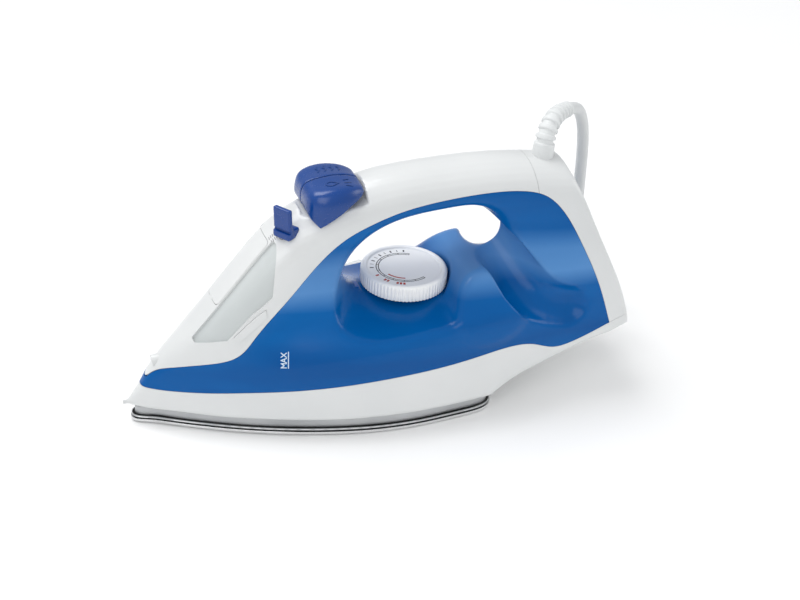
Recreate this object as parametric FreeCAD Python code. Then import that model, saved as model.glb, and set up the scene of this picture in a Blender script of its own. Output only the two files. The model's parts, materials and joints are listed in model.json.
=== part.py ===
"""A steam iron, as separate pieces: sole, heater, casings, water tank, pumps, dial, cord and plug.

Layout: x runs from the tip of the sole (0) to the heel, y is across (the iron is symmetric about y = 0),
z is up from the ironed surface. Pieces are made in that layout and moved to the part's own frame on export:
the origin is then under the middle of the iron, on the surface it stands on.
"""
import FreeCAD, Part
import math
import os

V = FreeCAD.Vector

# ---- overall sizes ----
LENGTH = 291.0            # skirt tip to heel corner
WIDTH = 98.0              # skirt, at its widest
HEIGHT = 145.0            # surface to the top of the handle

# ---- walls and clearances ----
WALL = 2.2                # plastic casings
FLOOR_THICK = 2.0         # tank floor
FLOOR_RISE = 4.0          # tank floor above the lower edge of the tank
LID_DROP = 3.0            # tank lid, measured upright
GAP = 0.35                # between pieces that move past each other
SEAT_GAP = 0.1            # between an inner plate and the wall around it
RUNNING = 0.05            # radial clearance of a shaft in its bush

# ---- sole stack, heights above the surface ----
SHEET_THICK = 1.0         # polished steel sheet
SHEET_RIM = 2.2           # height of its turned-up rim
SHEET_ROUND = 1.2
CASTING_TOP = 9.4
SKIRT_BOTTOM = 9.8
LIP_LOW = 3.2             # machined lip around the casting
LIP_HIGH = 4.2
LIP_INSET = 0.4
CASTING_INSET = 2.2       # casting wall inside the sheet's edge
STEAM_HOLE_R = 1.3
CHAMBER_FLOOR = 5.0
COVER_LAP = 1.6           # chamber cover past the chamber's edge
COVER_THICK = 1.2
ELEMENT_R = 3.3           # heating element tube
BLADE_FOOT_R = 1.5
BLADE_REACH = 4.0
BLADE_HIGH = 8.0
SHIELD_Z = 21.0
SHIELD_THICK = 0.6

# ---- dial and thermostat ----
DIAL_R = 25.0
DIAL_HEIGHT = 10.0
DIAL_RIBS = 72
DIAL_RECESS = 1.2
DIAL_ROOM = 1.2           # between the dial and the pocket it stands in
SPINDLE_R = 3.0
SPINDLE_TUBE_R = 5.5
THERMOSTAT = (28.0, 17.0, 9.0)
THERMOSTAT_BUSH = 2.0

# ---- buttons and pumps ----
BUTTON_TRAVEL = 4.0
BUTTON_WALL = 1.5
BUTTON_SPLIT = 0.3        # half the gap between the two buttons
PUMP_Y = 7.6              # pump axis to the middle plane
PUMP_BORE = 4.5           # radius
PUMP_WALL = 1.4
STEM_R = 2.5
SPRING_R = 4.6
SPRING_WIRE = 0.45

# ---- steam slider, spray nozzle, filler door ----
SLIDER_REACH = 24.5       # valve rod to the outside of the slider's tab
SLIDER_REST = 36.0        # degrees from the middle plane, toward -y
SLIDER_THICK = 2.5
SLIDER_HUB = 3.9
TAB_WIDE = 8.0
TAB_THICK = 3.0
TAB_HIGH = 11.0
ROD_R = 2.0
SEAT_R = 5.0
NOZZLE_R = 3.4
NOZZLE_HOLE_R = 0.6
NOZZLE_LENGTH = 12.0
DOOR_HALF = 9.0
DOOR_THICK = 2.4
DOOR_ROOM = 12.0          # depth cut into the ridge for the door
KNUCKLE_R = 1.8
KNUCKLE_HALF = 6.2
TONGUE_HALF = 2.3
PIN_R = 0.8
FILLER_R = 6.5
ARM_R = 1.2
TUBE_R = 2.0
TUBE_BORE = 1.2
WIRE_R = 1.3
SCREW_R = 2.0
SCREW_HEAD_R = 3.6
SCREW_HEAD = 2.4
BOSS_R = 4.6

# ---- cord ----
CORD_D = 7.0
GUARD_R = 6.2
GUARD_FLANGE_R = 8.5
GUARD_FLANGE = 2.5
BUSH_WALL = 1.5
BUSH_TOP = 3.0
COIL_TURN_R = 40.0        # middle of the coil's turns
COIL_ROWS = 3
COIL_LAYERS = 2
TIE_THICK = 0.8
TIE_WIDE = 6.0
PLUG_R = 18.5
PLUG_FACE = 14.0          # length of the plug's wide front
PLUG_LENGTH = 40.0
PLUG_GRIP_R = 9.0
PIN_LENGTH = 19.0
PLUG_PIN_R = 2.4
PLUG_PIN_PITCH = 19.0

# ---- the layout is drawn on an iron of these sizes, and stretched to the sizes above ----
DRAWN_LENGTH = 291.0
DRAWN_HALF = 49.0
DRAWN_HEIGHT = 145.0
DRAWN_BOTTOM = 9.8
TIP_X = -2.0
FAR = 90.0                # beyond either side of the iron


def along(x):
    return x * LENGTH / DRAWN_LENGTH


def across(y):
    return y * WIDTH / (2 * DRAWN_HALF)


def up(z):
    stretch = (HEIGHT - SKIRT_BOTTOM) / (DRAWN_HEIGHT - DRAWN_BOTTOM)
    return SKIRT_BOTTOM + (z - DRAWN_BOTTOM) * stretch


MIDDLE_X = along(TIP_X) + LENGTH / 2

# One row per station: x, then half width and height of the skirt edge, waist line, tank crease,
# hollow flank, side of the handle and shoulder, and last the height of the crown.
# All heights but the first row's stay above the skirt's bottom.
STATIONS = (
    (-2, 1.2, (1.2, 10.4), (1.1, 11.0), (1.0, 11.6), (0.8, 12.2), (0.5, 12.7), 13.0),
    (4, 5.8, (5.2, 13), (4.8, 15), (4.2, 17), (3.4, 19), (2.2, 20.4), 21.0),
    (12, 10.4, (9.6, 17), (8.6, 22), (7.4, 27), (6.0, 31), (3.8, 34), 35.5),
    (24, 16.2, (15.2, 20), (14.0, 29), (12.4, 37), (10.0, 43), (6.4, 47.5), 49.5),
    (42, 25.0, (24.0, 23), (22.6, 33), (20.4, 44), (17.0, 57), (11.4, 66), 69.0),
    (64, 33.6, (32.6, 26), (31.0, 38), (26.4, 54), (21.6, 74), (14.6, 92), 97.0),
    (90, 41.6, (40.4, 29), (38.0, 46), (29.0, 66), (22.4, 90), (16.4, 115), 123.5),
    (114, 46.8, (45.6, 32), (42.4, 52), (31.0, 70), (20.6, 98), (17.6, 124), 135.0),
    (138, 49.0, (47.8, 35), (44.2, 57), (31.0, 73), (19.2, 102), (18.0, 132), 141.5),
    (166, 48.4, (47.2, 37), (43.6, 60), (31.0, 76), (19.0, 104), (18.2, 135), 144.3),
    (194, 45.0, (44.0, 39), (41.4, 63), (31.0, 79), (19.6, 106), (18.4, 136), 145.0),
    (218, 41.6, (41.0, 41), (39.2, 62), (31.0, 82), (21.4, 108), (18.8, 135), 143.8),
    (244, 39.0, (38.6, 42), (37.4, 60), (32.4, 84), (25.0, 110), (19.6, 132), 141.0),
    (270, 37.2, (37.0, 44), (35.4, 60), (32.0, 84), (27.0, 110), (20.6, 130), 138.0),
    (296, 36.0, (35.8, 46), (34.4, 62), (31.6, 84), (27.6, 110), (21.0, 128), 134.0),
)

# Side-view lines, (x, z).
UNDERSIDE = ((200, -5), (201, 9.8), (206, 13.6), (214, 18.4), (232, 25.6), (257, 34.3), (279, 39.5), (300, 41))
HEEL = ((244, 160), (250, 138), (255, 127), (265, 104.5), (273, 87), (281, 69), (286.5, 52), (289, 39), (290, 30))
SKIRT_TOP = ((-6, 23), (9, 23.2), (22, 23.6), (55, 27.2), (84, 30), (126, 34.8), (167, 38.1), (192, 40.4),
             (214, 42.4), (226, 41), (240, 36.4), (254, 38.5), (264, 42), (275, 46.4), (300, 56))
BLUE_TOP = ((-6, 22), (5, 25), (12, 33), (21, 37.4), (40, 42.6), (56, 49), (65, 59.5), (85, 82), (103, 101.6),
            (117, 113), (130, 119.6), (146, 125.4), (170, 129.8), (194, 131.7), (220, 130.8), (233, 127),
            (243, 118), (255, 97.5), (268, 68), (275, 46.4), (278, 36), (279, 20))
SADDLE = ((94.8, 200), (94.8, 124.5), (97, 124), (129.6, 131), (129.6, 200))
GUARD_X = 238.0
SEAM_X = 221.0            # where the handle cover meets the rear cover
SEAM_LEAN = 12.0

# The handle opening in side view, in the middle plane, at the handle's sides and out at the tank's edge.
OPENING = (
    (0, ((121, 88), (124, 75), (137, 69), (158, 70), (178, 75), (196, 80.5), (206, 84), (209, 99),
         (204, 113), (193, 120), (174, 120.5), (155, 118), (138, 112), (126, 101))),
    (24, ((111, 84), (115, 69), (130, 63.5), (154, 64.5), (178, 68), (199, 71.5), (213, 75), (218, 94),
          (212, 114), (199, 124), (176, 125.5), (154, 123), (134, 116), (118, 102))),
    (62, ((92, 86), (98, 60), (122, 52), (152, 55), (178, 58), (202, 59), (224, 62), (234, 92),
          (224, 120), (204, 134), (176, 137), (150, 135), (124, 127), (104, 110))),
)

# The sole's outline from above, one half from the tip to the middle of the rear edge.
SOLE = ((0, 0), (1.4, 3.6), (9, 7.4), (20, 12.6), (38, 21.4), (62, 31.4), (87, 39.2), (102, 42.8), (128, 47.0),
        (158, 47.4), (183, 44.4), (195, 42.2), (202, 38.6), (206, 31), (207.6, 18), (208, 0))
CHAMBER = ((74, -9), (100, -16), (148, -17), (148, 17), (100, 16), (74, 9))
ELEMENT = ((188, 24), (102, 24), (44, 6), (44, -6), (102, -24), (188, -24))

# The buttons' cap: x, half width, height of the crown. Below is its outline in side view.
BUTTON_STATIONS = ((95.4, 9.0, 134.0), (98.5, 14.5, 139.2), (103.5, 19.6, 141.4), (109, 20.6, 142.6),
                   (116, 20.3, 142.9), (123, 18.0, 141.6), (129, 14.5, 138.8))
BUTTON_SIDE = ((90, 131.5), (97, 129.4), (107.5, 123.6), (120, 133.4), (131, 138.4), (131, 160), (90, 160))

# ---- places of the pieces inside ----
DIAL_X = 159.0
DIAL_FACE = 79.5
PUMP_X = 108.0
PUMP_LOW = 96.0
PUMP_HIGH = 121.0
PISTON_LOW = 112.0
PISTON_HIGH = 117.0
ROD_X = 101.0
ROD_LOW = 34.4
ROD_HIGH = 120.0
SLIDER_Z = 116.8
SEAT_TOP = 40.0
DOOR_LOW = 46.0
DOOR_HIGH = 76.0
NECK_X = 64.0
NECK_LOW = 52.0
NECK_DEPTH = 14.0         # mouth below the ridge
NOZZLE_AT = (24.0, 38.6)
NOZZLE_TILT = -8.0
OUTER_HOLES = ((30, 8), (42, 13), (56, 18), (72, 23), (90, 28), (108, 32), (126, 34), (144, 34))
INNER_HOLES = ((84, 7), (96, 10), (110, 12), (126, 12))
SCREWS_AT = ((30, 0), (176, 34), (176, -34))
LID_FROM = 36.0
SHIELD_FROM = 24.0
SHIELD_TO = 184.0
BLOCK_AT = (273.8, 50.0)
BLOCK_SIZE = (6.6, 20.0, 12.0)
WIRE_PITCH = 5.6
REAR_SCREW_Z = 72.0
REAR_SCREW_Y = 12.0
LENS_X = 127.0
LAMP_AT = (142.0, 10.0)
FUSE_AT = (120.0, 34.0)

# ---- the cord: from the guard down to the floor, into the coil, and from the coil to the plug ----
GUARD_ROUTE = ((238.0, 0.0, 133.5), (238.0, 0.0, 150.0), (243.5, 5.5, 159.0), (252.0, 13.5, 160.5),
               (261.0, 22.5, 157.0))
DROP_ROUTE = ((261.0, 22.5, 157.0), (270.0, 31.5, 153.5), (278.2, 40.2, 145.5), (284.4, 47.0, 133.0),
              (288.0, 51.0, 117.0), (289.6, 53.2, 95.0), (290.3, 54.0, 80.0), (290.5, 54.15, 66.5))
FLOOR_ROUTE = ((290.5, 54.15, 66.0), (290.8, 54.9, 44.5), (293.4, 66.0, 27.0), (294.3, 84.6, 14.6),
               (287.2, 102.8, 11.3))
TAIL_ROUTE = ((240.0, 120.3, 4.3), (231.9, 118.2, 4.3), (211.2, 110.7, 4.3), (190.6, 103.2, 18.5),
              (169.9, 95.6, 18.5))
COIL_X = 248.0
COIL_Y = 74.0


def export(name, shape):
    """Moves a piece from the layout to the part's frame and writes it."""
    placed = shape.copy()
    placed.translate(V(-MIDDLE_X, 0, 0))
    placed.exportStep("parts/" + name + ".step")
    print(name, len(placed.Solids), "solid(s)", round(placed.Volume), "mm3")


def cylinder(radius, low, high, x=0.0, y=0.0):
    return Part.makeCylinder(radius, high - low, V(x, y, low))


def ring(outer, inner, low, high, x=0.0, y=0.0):
    return cylinder(outer, low, high, x, y).cut(cylinder(inner, low, high, x, y))


def block(x0, x1, y0, y1, z0, z1):
    return Part.makeBox(x1 - x0, y1 - y0, z1 - z0, V(x0, y0, z0))


def rod(a, b, radius):
    direction = b.sub(a)
    return Part.makeCylinder(radius, direction.Length, a, direction)


def side_point(point, dx=0.0, dz=0.0):
    return V(along(point[0]) + dx, -FAR, up(point[1]) + dz)


def side_region(curve, corners, dx=0.0, dz=0.0):
    """The region between a smooth side-view curve and straight lines through the corners, right across the iron."""
    points = [side_point(p, dx, dz) for p in curve]
    spline = Part.BSplineCurve()
    spline.interpolate(points)
    edges = [spline.toShape()]
    loop = [points[-1]] + [V(c[0], -FAR, c[1]) for c in corners] + [points[0]]
    edges += [Part.makeLine(a, b) for a, b in zip(loop, loop[1:])]
    return Part.Face(Part.Wire(edges)).extrude(V(0, 2 * FAR, 0))


def side_polygon(points, y0=-FAR, y1=FAR):
    corners = [V(x, y0, z) for x, z in points]
    return Part.Face(Part.makePolygon(corners + corners[:1])).extrude(V(0, y1 - y0, 0))


def above(curve, dz=0.0):
    return side_region(curve, ((along(400), up(curve[-1][1])), (along(400), 400), (along(-80), 400)), dz=dz)


def below(curve, dz=0.0):
    return side_region(curve, ((along(400), up(curve[-1][1])), (along(400), -80), (along(-80), -80)), dz=dz)


def bell(station, inset):
    """One cross-section of the iron's envelope, a smooth arch over a straight bottom edge."""
    x, foot, crown = station[0], across(station[1]) - inset, up(station[-1]) - inset
    rise = [(foot, SKIRT_BOTTOM)] + [(across(w) - inset, up(z) - inset * z / 150) for w, z in station[2:-1]]
    arch = rise + [(0, crown)] + [(-y, z) for y, z in reversed(rise)]
    spline = Part.BSplineCurve()
    spline.interpolate([V(along(x), y, z) for y, z in arch])
    ends = Part.makeLine(V(along(x), -foot, SKIRT_BOTTOM), V(along(x), foot, SKIRT_BOTTOM))
    return Part.Wire([spline.toShape(), ends])


def envelope(inset):
    """The iron's outer body, or the space inside its wall, before the handle opening and the heel are cut."""
    wide_enough = [s for s in STATIONS if across(s[-2][0]) > inset + 0.4]
    solid = Part.makeLoft([bell(s, inset) for s in wide_enough], True, False)
    heel = side_region(HEEL, ((along(320), 0), (along(320), 200)), dx=-inset)
    underside = side_region(UNDERSIDE, ((along(300), -30), (along(200), -30)), dz=inset)
    return solid.cut(heel).cut(underside)


def opening(grow):
    """The finger opening: narrow in the middle plane, flared toward both sides."""
    wires = []
    outlines = [(-y, o) for y, o in reversed(OPENING[1:])] + list(OPENING)
    for y, outline in outlines:
        centre_x = sum(p[0] for p in outline) / len(outline)
        centre_z = sum(p[1] for p in outline) / len(outline)
        points = []
        for x, z in outline:
            reach = math.hypot(x - centre_x, z - centre_z)
            out_x, out_z = (x - centre_x) / reach, (z - centre_z) / reach
            points.append(V(along(x) + grow * out_x, across(y), up(z) + grow * out_z))
        spline = Part.BSplineCurve()
        spline.interpolate(points, PeriodicFlag=True)
        wires.append(Part.Wire(spline.toShape()))
    return Part.makeLoft(wires, True, False)


def saddle(drop):
    """The space over the lowered stretch of handle that the buttons sit on."""
    return side_polygon([(along(x), up(z) - drop) for x, z in SADDLE])


def smooth_path(points):
    """Straight runs joined by tangent arcs, each arc as large as its two runs allow. Returns the wire and the radii."""
    points = [V(*p) for p in points]
    edges, radii, start = [], [], points[0]
    for a, b, c in zip(points, points[1:], points[2:]):
        before, after = a.sub(b), c.sub(b)
        reach = 0.45 * min(before.Length, after.Length)
        before.normalize()
        after.normalize()
        half_turn = (math.pi - before.getAngle(after)) / 2
        radii.append(reach / math.tan(half_turn))
        entry, leave = b + before * reach, b + after * reach
        to_middle = before + after
        to_middle.normalize()
        middle = b + to_middle * (radii[-1] / math.cos(half_turn) - radii[-1])
        edges += [Part.LineSegment(start, entry).toShape(), Part.Arc(entry, middle, leave).toShape()]
        start = leave
    edges.append(Part.LineSegment(start, points[-1]).toShape())
    return Part.Wire(edges), radii


def tube(points, radius, bore=0.0):
    """A round tube along a smooth path."""
    path = smooth_path(points)[0]
    start, ahead = V(*points[0]), V(*points[1]).sub(V(*points[0]))
    section = Part.Wire(Part.makeCircle(radius, start, ahead))
    solid = path.makePipeShell([section], True, False)
    if bore:
        solid = solid.cut(path.makePipeShell([Part.Wire(Part.makeCircle(bore, start, ahead))], True, False))
    return solid


def spring(radius, wire, low, high, x, y):
    turns = 5
    path = Part.makeHelix((high - low) / turns, high - low, radius)
    section = Part.Wire(Part.makeCircle(wire, V(radius, 0, 0), V(0, 1, 0)))
    coil = Part.Wire(path.Edges).makePipeShell([section], True, True)
    coil.translate(V(x, y, low))
    return coil


def sole_plan(inset, low, high):
    """The sole's outline, moved inward and made a slab."""
    half = [(along(x), across(y)) for x, y in SOLE]
    loop = half + [(x, -y) for x, y in reversed(half[1:-1])]
    moved = []
    for before, here, after in zip(loop[-1:] + loop, loop, loop[1:] + loop[:1]):
        run = math.hypot(after[0] - before[0], after[1] - before[1])
        normal = ((after[1] - before[1]) / run, (before[0] - after[0]) / run)
        moved.append(V(here[0] + inset * normal[0], here[1] + inset * normal[1], low))
    spline = Part.BSplineCurve()
    spline.interpolate(moved, PeriodicFlag=True)
    return Part.Face(Part.Wire(spline.toShape())).extrude(V(0, 0, high - low))


def flat_polygon(points, low, high):
    corners = [V(along(x), y, low) for x, y in points]
    return Part.Face(Part.makePolygon(corners + corners[:1])).extrude(V(0, 0, high - low))


def crown_height(x):
    """Height of the crown line at x, read from the stations."""
    for left, right in zip(STATIONS, STATIONS[1:]):
        if left[0] <= x <= right[0]:
            share = (x - left[0]) / (right[0] - left[0])
            return up(left[-1] + share * (right[-1] - left[-1]))


# ---- the casings come out of one shell ----

def dial_pocket(grow):
    floor = up(DIAL_FACE) - DIAL_HEIGHT - GAP - grow
    return cylinder(DIAL_R + DIAL_ROOM + grow, floor, up(96), along(DIAL_X))


def door_space(side, end, depth):
    """The stretch of nose ridge that the filler door fills, with the given side width and clearance at its ends."""
    low, high = V(along(DOOR_LOW), 0, crown_height(DOOR_LOW)), V(along(DOOR_HIGH), 0, crown_height(DOOR_HIGH))
    ridge = high.sub(low)
    ridge.normalize()
    inward = V(ridge.z, 0, -ridge.x)
    foot, head = low - ridge * end, high + ridge * end
    corners = [foot - inward * 12, head - inward * 12, head + inward * depth, foot + inward * depth]
    face = Part.Face(Part.makePolygon([V(c.x, -side, c.z) for c in corners + corners[:1]]))
    return face.extrude(V(0, 2 * side, 0))


def door_pivot():
    low, high = V(along(DOOR_LOW), 0, crown_height(DOOR_LOW)), V(along(DOOR_HIGH), 0, crown_height(DOOR_HIGH))
    ridge = high.sub(low)
    ridge.normalize()
    return low + V(ridge.z, 0, -ridge.x) * KNUCKLE_R


def barrel(radius, y0, y1):
    return rod(door_pivot() + V(0, y0, 0), door_pivot() + V(0, y1, 0), radius)


def slider_slot():
    low = up(SLIDER_Z) - SLIDER_THICK / 2 - GAP
    high = up(SLIDER_Z) + SLIDER_THICK / 2 + GAP
    swing = SLIDER_REST + math.degrees(math.atan2(TAB_WIDE / 2 + 2 * GAP, SLIDER_REACH - TAB_THICK))
    sector = Part.makeCylinder(SLIDER_REACH + 6, high - low, V(along(ROD_X), 0, low), V(0, 0, 1), 2 * swing)
    sector.rotate(V(along(ROD_X), 0, 0), V(0, 0, 1), 180 - swing)
    return sector


def rear_screw(radius, x0, x1, side):
    z = up(REAR_SCREW_Z)
    return rod(V(along(x0), side * REAR_SCREW_Y, z), V(along(x1), side * REAR_SCREW_Y, z), radius)


def make_casings():
    outer = envelope(0.0).cut(opening(0.0)).cut(saddle(0.0)).cut(dial_pocket(0.0))
    inner = envelope(WALL).cut(opening(WALL)).cut(saddle(WALL)).cut(dial_pocket(WALL))
    seat = envelope(WALL + SEAT_GAP).cut(opening(WALL + SEAT_GAP)).cut(dial_pocket(WALL + SEAT_GAP))
    shell = outer.cut(inner)
    low, top = below(SKIRT_TOP), above(BLUE_TOP)
    behind_seam = side_polygon(((along(SEAM_X), 200), (along(SEAM_X + SEAM_LEAN), up(90)), (along(330), 0),
                                (along(330), 200)))
    skirt = shell.common(low)
    white = shell.cut(low).common(top)
    tank = shell.cut(low).cut(top)
    rear = white.common(behind_seam)
    front = white.cut(behind_seam)
    return outer, inner, seat, skirt, tank, rear, front


OUTER, INNER, SEAT, SKIRT, TANK, REAR, FRONT = make_casings()


def biggest(shape):
    return max(shape.Solids, key=lambda solid: solid.Volume)


# ---- sole ----

def steam_holes():
    """Two rows of holes round the tip and along the sides, through the sole into the steam chamber's channels."""
    outer = [(along(x), side * across(y)) for x, y in OUTER_HOLES for side in (-1, 1)]
    inner = [(along(x), side * y) for x, y in INNER_HOLES for side in (-1, 1)]
    return outer + inner


def sole_sheet():
    sheet = sole_plan(0.0, 0.0, SHEET_RIM)
    lower = [e for e in sheet.Edges if e.BoundBox.ZMax < 0.01]
    sheet = sheet.makeFillet(SHEET_ROUND, lower)
    sheet = sheet.cut(sole_plan(SHEET_THICK, SHEET_THICK, SHEET_RIM + 1))
    for x, y in steam_holes():
        sheet = sheet.cut(cylinder(STEAM_HOLE_R, -1, SHEET_THICK + 1, x, y))
    return sheet


def element_solid():
    route = [(along(x), y, CASTING_TOP) for x, y in ELEMENT]
    return tube(route, ELEMENT_R)


def sole_casting():
    casting = sole_plan(CASTING_INSET, SHEET_THICK, CASTING_TOP)
    casting = casting.fuse(sole_plan(LIP_INSET, LIP_LOW, LIP_HIGH))
    casting = casting.cut(flat_polygon(CHAMBER, CHAMBER_FLOOR, CASTING_TOP + 1))
    for x, y in SCREWS_AT:
        casting = casting.fuse(cylinder(BOSS_R, CASTING_TOP - 1, SHIELD_Z, along(x), y))
        casting = casting.cut(cylinder(SCREW_R, CHAMBER_FLOOR, SHIELD_Z + 1, along(x), y))
    for x, y in steam_holes():
        casting = casting.cut(cylinder(STEAM_HOLE_R, 0, CHAMBER_FLOOR + 1, x, y))
    for side in (-1, 1):
        foot = V(along(ELEMENT[0][0]), side * ELEMENT[0][1], CASTING_TOP)
        casting = casting.cut(rod(foot, foot + V(BLADE_REACH + 1, 0, 0), BLADE_FOOT_R + 0.5))
    return casting.cut(element_solid()).removeSplitter()


def element_terminals():
    """A flat blade on each end of the element, standing up for its wire."""
    blades = []
    for side in (-1, 1):
        x, y = along(ELEMENT[0][0]), side * ELEMENT[0][1]
        foot = rod(V(x, y, CASTING_TOP), V(x + BLADE_REACH, y, CASTING_TOP), BLADE_FOOT_R)
        blade = block(x + BLADE_REACH - 1.5, x + BLADE_REACH, y - 2, y + 2, CASTING_TOP, CASTING_TOP + BLADE_HIGH)
        blades.append(foot.fuse(blade))
    return blades


def chamber_cover():
    grown = [(x + (COVER_LAP if x > 111 else -COVER_LAP), y + math.copysign(COVER_LAP, y)) for x, y in CHAMBER]
    cover = flat_polygon(grown, CASTING_TOP, CASTING_TOP + COVER_THICK)
    for x, y, radius in ((along(ROD_X), 0, ROD_R), (along(PUMP_X), PUMP_Y, TUBE_BORE)):
        cover = cover.cut(cylinder(radius, CASTING_TOP - 1, CASTING_TOP + 5, x, y))
    return cover


COVER_TOP = CASTING_TOP + COVER_THICK


def thermostat():
    long, wide, high = THERMOSTAT
    x = along(DIAL_X)
    body = block(x - long / 2, x + long / 2, -wide / 2, wide / 2, COVER_TOP, COVER_TOP + high)
    legs = [block(x + side * 11 - 1, x + side * 11 + 1, wide / 2 - 1, wide / 2 + 4, COVER_TOP + 3, COVER_TOP + 4)
            for side in (-1, 1)]
    bush = cylinder(SPINDLE_R + 2, COVER_TOP + high - 1, COVER_TOP + high + THERMOSTAT_BUSH, x)
    body = body.multiFuse(legs + [bush])
    return body.cut(cylinder(SPINDLE_R + RUNNING, COVER_TOP + high - 2, COVER_TOP + high + 5, x))


def spindle():
    low = COVER_TOP + THERMOSTAT[2] - 2 + GAP
    return cylinder(SPINDLE_R, low, up(DIAL_FACE) - 4, along(DIAL_X))


def temperature_dial():
    top = up(DIAL_FACE)
    low = top - DIAL_HEIGHT
    dial = cylinder(DIAL_R - 0.6, low, top, along(DIAL_X))
    rib = cylinder(0.9, low + 0.6, top - 1.6, along(DIAL_X) + DIAL_R - 0.9)
    ribs = []
    for i in range(DIAL_RIBS):
        turned = rib.copy()
        turned.rotate(V(along(DIAL_X), 0, 0), V(0, 0, 1), i * 360 / DIAL_RIBS)
        ribs.append(turned)
    dial = dial.multiFuse(ribs)
    dial = dial.cut(cylinder(DIAL_R - 3.5, top - DIAL_RECESS, top + 1, along(DIAL_X)))
    dial = dial.cut(ring(DIAL_R - 2.8, SPINDLE_R + 2.2, low - 1, top - DIAL_RECESS - 1.8, along(DIAL_X)))
    return dial.cut(cylinder(SPINDLE_R, low - 1, top - 4, along(DIAL_X)))


def thermal_fuse():
    x, y = along(FUSE_AT[0]), FUSE_AT[1]
    return rod(V(x - 7, y, CASTING_TOP + TUBE_R), V(x + 7, y, CASTING_TOP + TUBE_R), TUBE_R)


def through_holes(shape, clearance):
    """Cuts the holes for what stands upright through the shield or the tank floor."""
    for x, y, radius in ((along(DIAL_X), 0, SPINDLE_TUBE_R), (along(ROD_X), 0, SEAT_R), (along(PUMP_X), PUMP_Y, TUBE_R)):
        shape = shape.cut(cylinder(radius + clearance, -10, 90, x, y))
    return shape


def heat_shield():
    shield = SEAT.common(block(along(SHIELD_FROM), along(SHIELD_TO), -FAR, FAR, SHIELD_Z, SHIELD_Z + SHIELD_THICK))
    for x, y in SCREWS_AT:
        shield = shield.cut(cylinder(SCREW_R, SHIELD_Z - 1, SHIELD_Z + 2, along(x), y))
    return biggest(through_holes(shield, GAP))


def sole_screws():
    head_low = SHIELD_Z + SHIELD_THICK
    screws = []
    for x, y in SCREWS_AT:
        shank = cylinder(SCREW_R, CHAMBER_FLOOR, head_low, along(x), y)
        head = cylinder(SCREW_HEAD_R, head_low, head_low + SCREW_HEAD, along(x), y)
        slot = block(along(x) - 3, along(x) + 3, y - 0.4, y + 0.4, head_low + SCREW_HEAD - 1, head_low + SCREW_HEAD + 1)
        screws.append(shank.fuse(head).cut(slot))
    return screws


# ---- tank ----

def tank_floor():
    band = above(SKIRT_TOP, FLOOR_RISE).cut(above(SKIRT_TOP, FLOOR_RISE + FLOOR_THICK)).cut(above(BLUE_TOP, -LID_DROP))
    return biggest(through_holes(SEAT.common(band), 0.0))


def pump_axis(side):
    return along(PUMP_X), side * PUMP_Y


def tank_lid():
    band = below(BLUE_TOP).cut(below(BLUE_TOP, -LID_DROP)).cut(below(SKIRT_TOP, FLOOR_RISE + FLOOR_THICK))
    lid = SEAT.common(band).cut(block(along(-10), along(LID_FROM), -FAR, FAR, 0, 90))
    for side in (-1, 1):
        lid = lid.cut(cylinder(PUMP_BORE + PUMP_WALL, 60, 150, *pump_axis(side)))
    lid = lid.cut(cylinder(ROD_R + GAP, 60, 150, along(ROD_X)))
    lid = lid.cut(cylinder(FILLER_R + WALL, 40, 100, along(NECK_X)))
    return biggest(lid)


def spindle_tube():
    top = up(DIAL_FACE) - DIAL_HEIGHT - GAP - WALL
    return ring(SPINDLE_TUBE_R, SPINDLE_R + GAP, SHIELD_Z + 2, top, along(DIAL_X))


def water_tank():
    return biggest(TANK.cut(cylinder(SPINDLE_R + GAP, 40, 90, along(DIAL_X))).cut(lens_solid()))


def valve_seat():
    seat = ring(SEAT_R, ROD_R + RUNNING, up(ROD_LOW), up(SEAT_TOP), along(ROD_X))
    return seat.fuse(ring(SEAT_R, 1.0, COVER_TOP, up(ROD_LOW), along(ROD_X)))


def valve_rod():
    rest = up(ROD_LOW) + GAP
    return cylinder(ROD_R, rest, up(ROD_HIGH), along(ROD_X))


def steam_slider():
    """A hub on the valve rod, an arm through the slot in the nose, and a tab for the thumb."""
    z, x = up(SLIDER_Z), along(ROD_X)
    half = SLIDER_THICK / 2
    inner = SLIDER_REACH - TAB_THICK
    arm = block(x - SLIDER_REACH, x, -2.6, 2.6, z - half, z + half)
    tab = block(x - SLIDER_REACH, x - inner, -TAB_WIDE / 2, TAB_WIDE / 2, z - half, z - half + TAB_HIGH)
    tab = tab.makeFillet(1.0, [e for e in tab.Edges if abs(e.BoundBox.ZLength) < 0.01 and e.BoundBox.ZMax > z + half])
    slider = arm.multiFuse([tab, cylinder(SLIDER_HUB, z - half, z + half, x)])
    slider = slider.cut(cylinder(ROD_R + RUNNING, z - 5, z + 5, x))
    slider.rotate(V(x, 0, 0), V(0, 0, 1), SLIDER_REST)
    return slider


# ---- pumps and buttons ----

def pump_barrel(side):
    x, y = pump_axis(side)
    barrel = ring(PUMP_BORE + PUMP_WALL, PUMP_BORE, up(PUMP_LOW) + PUMP_WALL, up(PUMP_HIGH), x, y)
    return barrel.fuse(ring(PUMP_BORE + PUMP_WALL, TUBE_BORE, up(PUMP_LOW), up(PUMP_LOW) + PUMP_WALL, x, y))


def pump_piston(side):
    return cylinder(PUMP_BORE - RUNNING, up(PISTON_LOW), up(PISTON_HIGH), *pump_axis(side))


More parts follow.
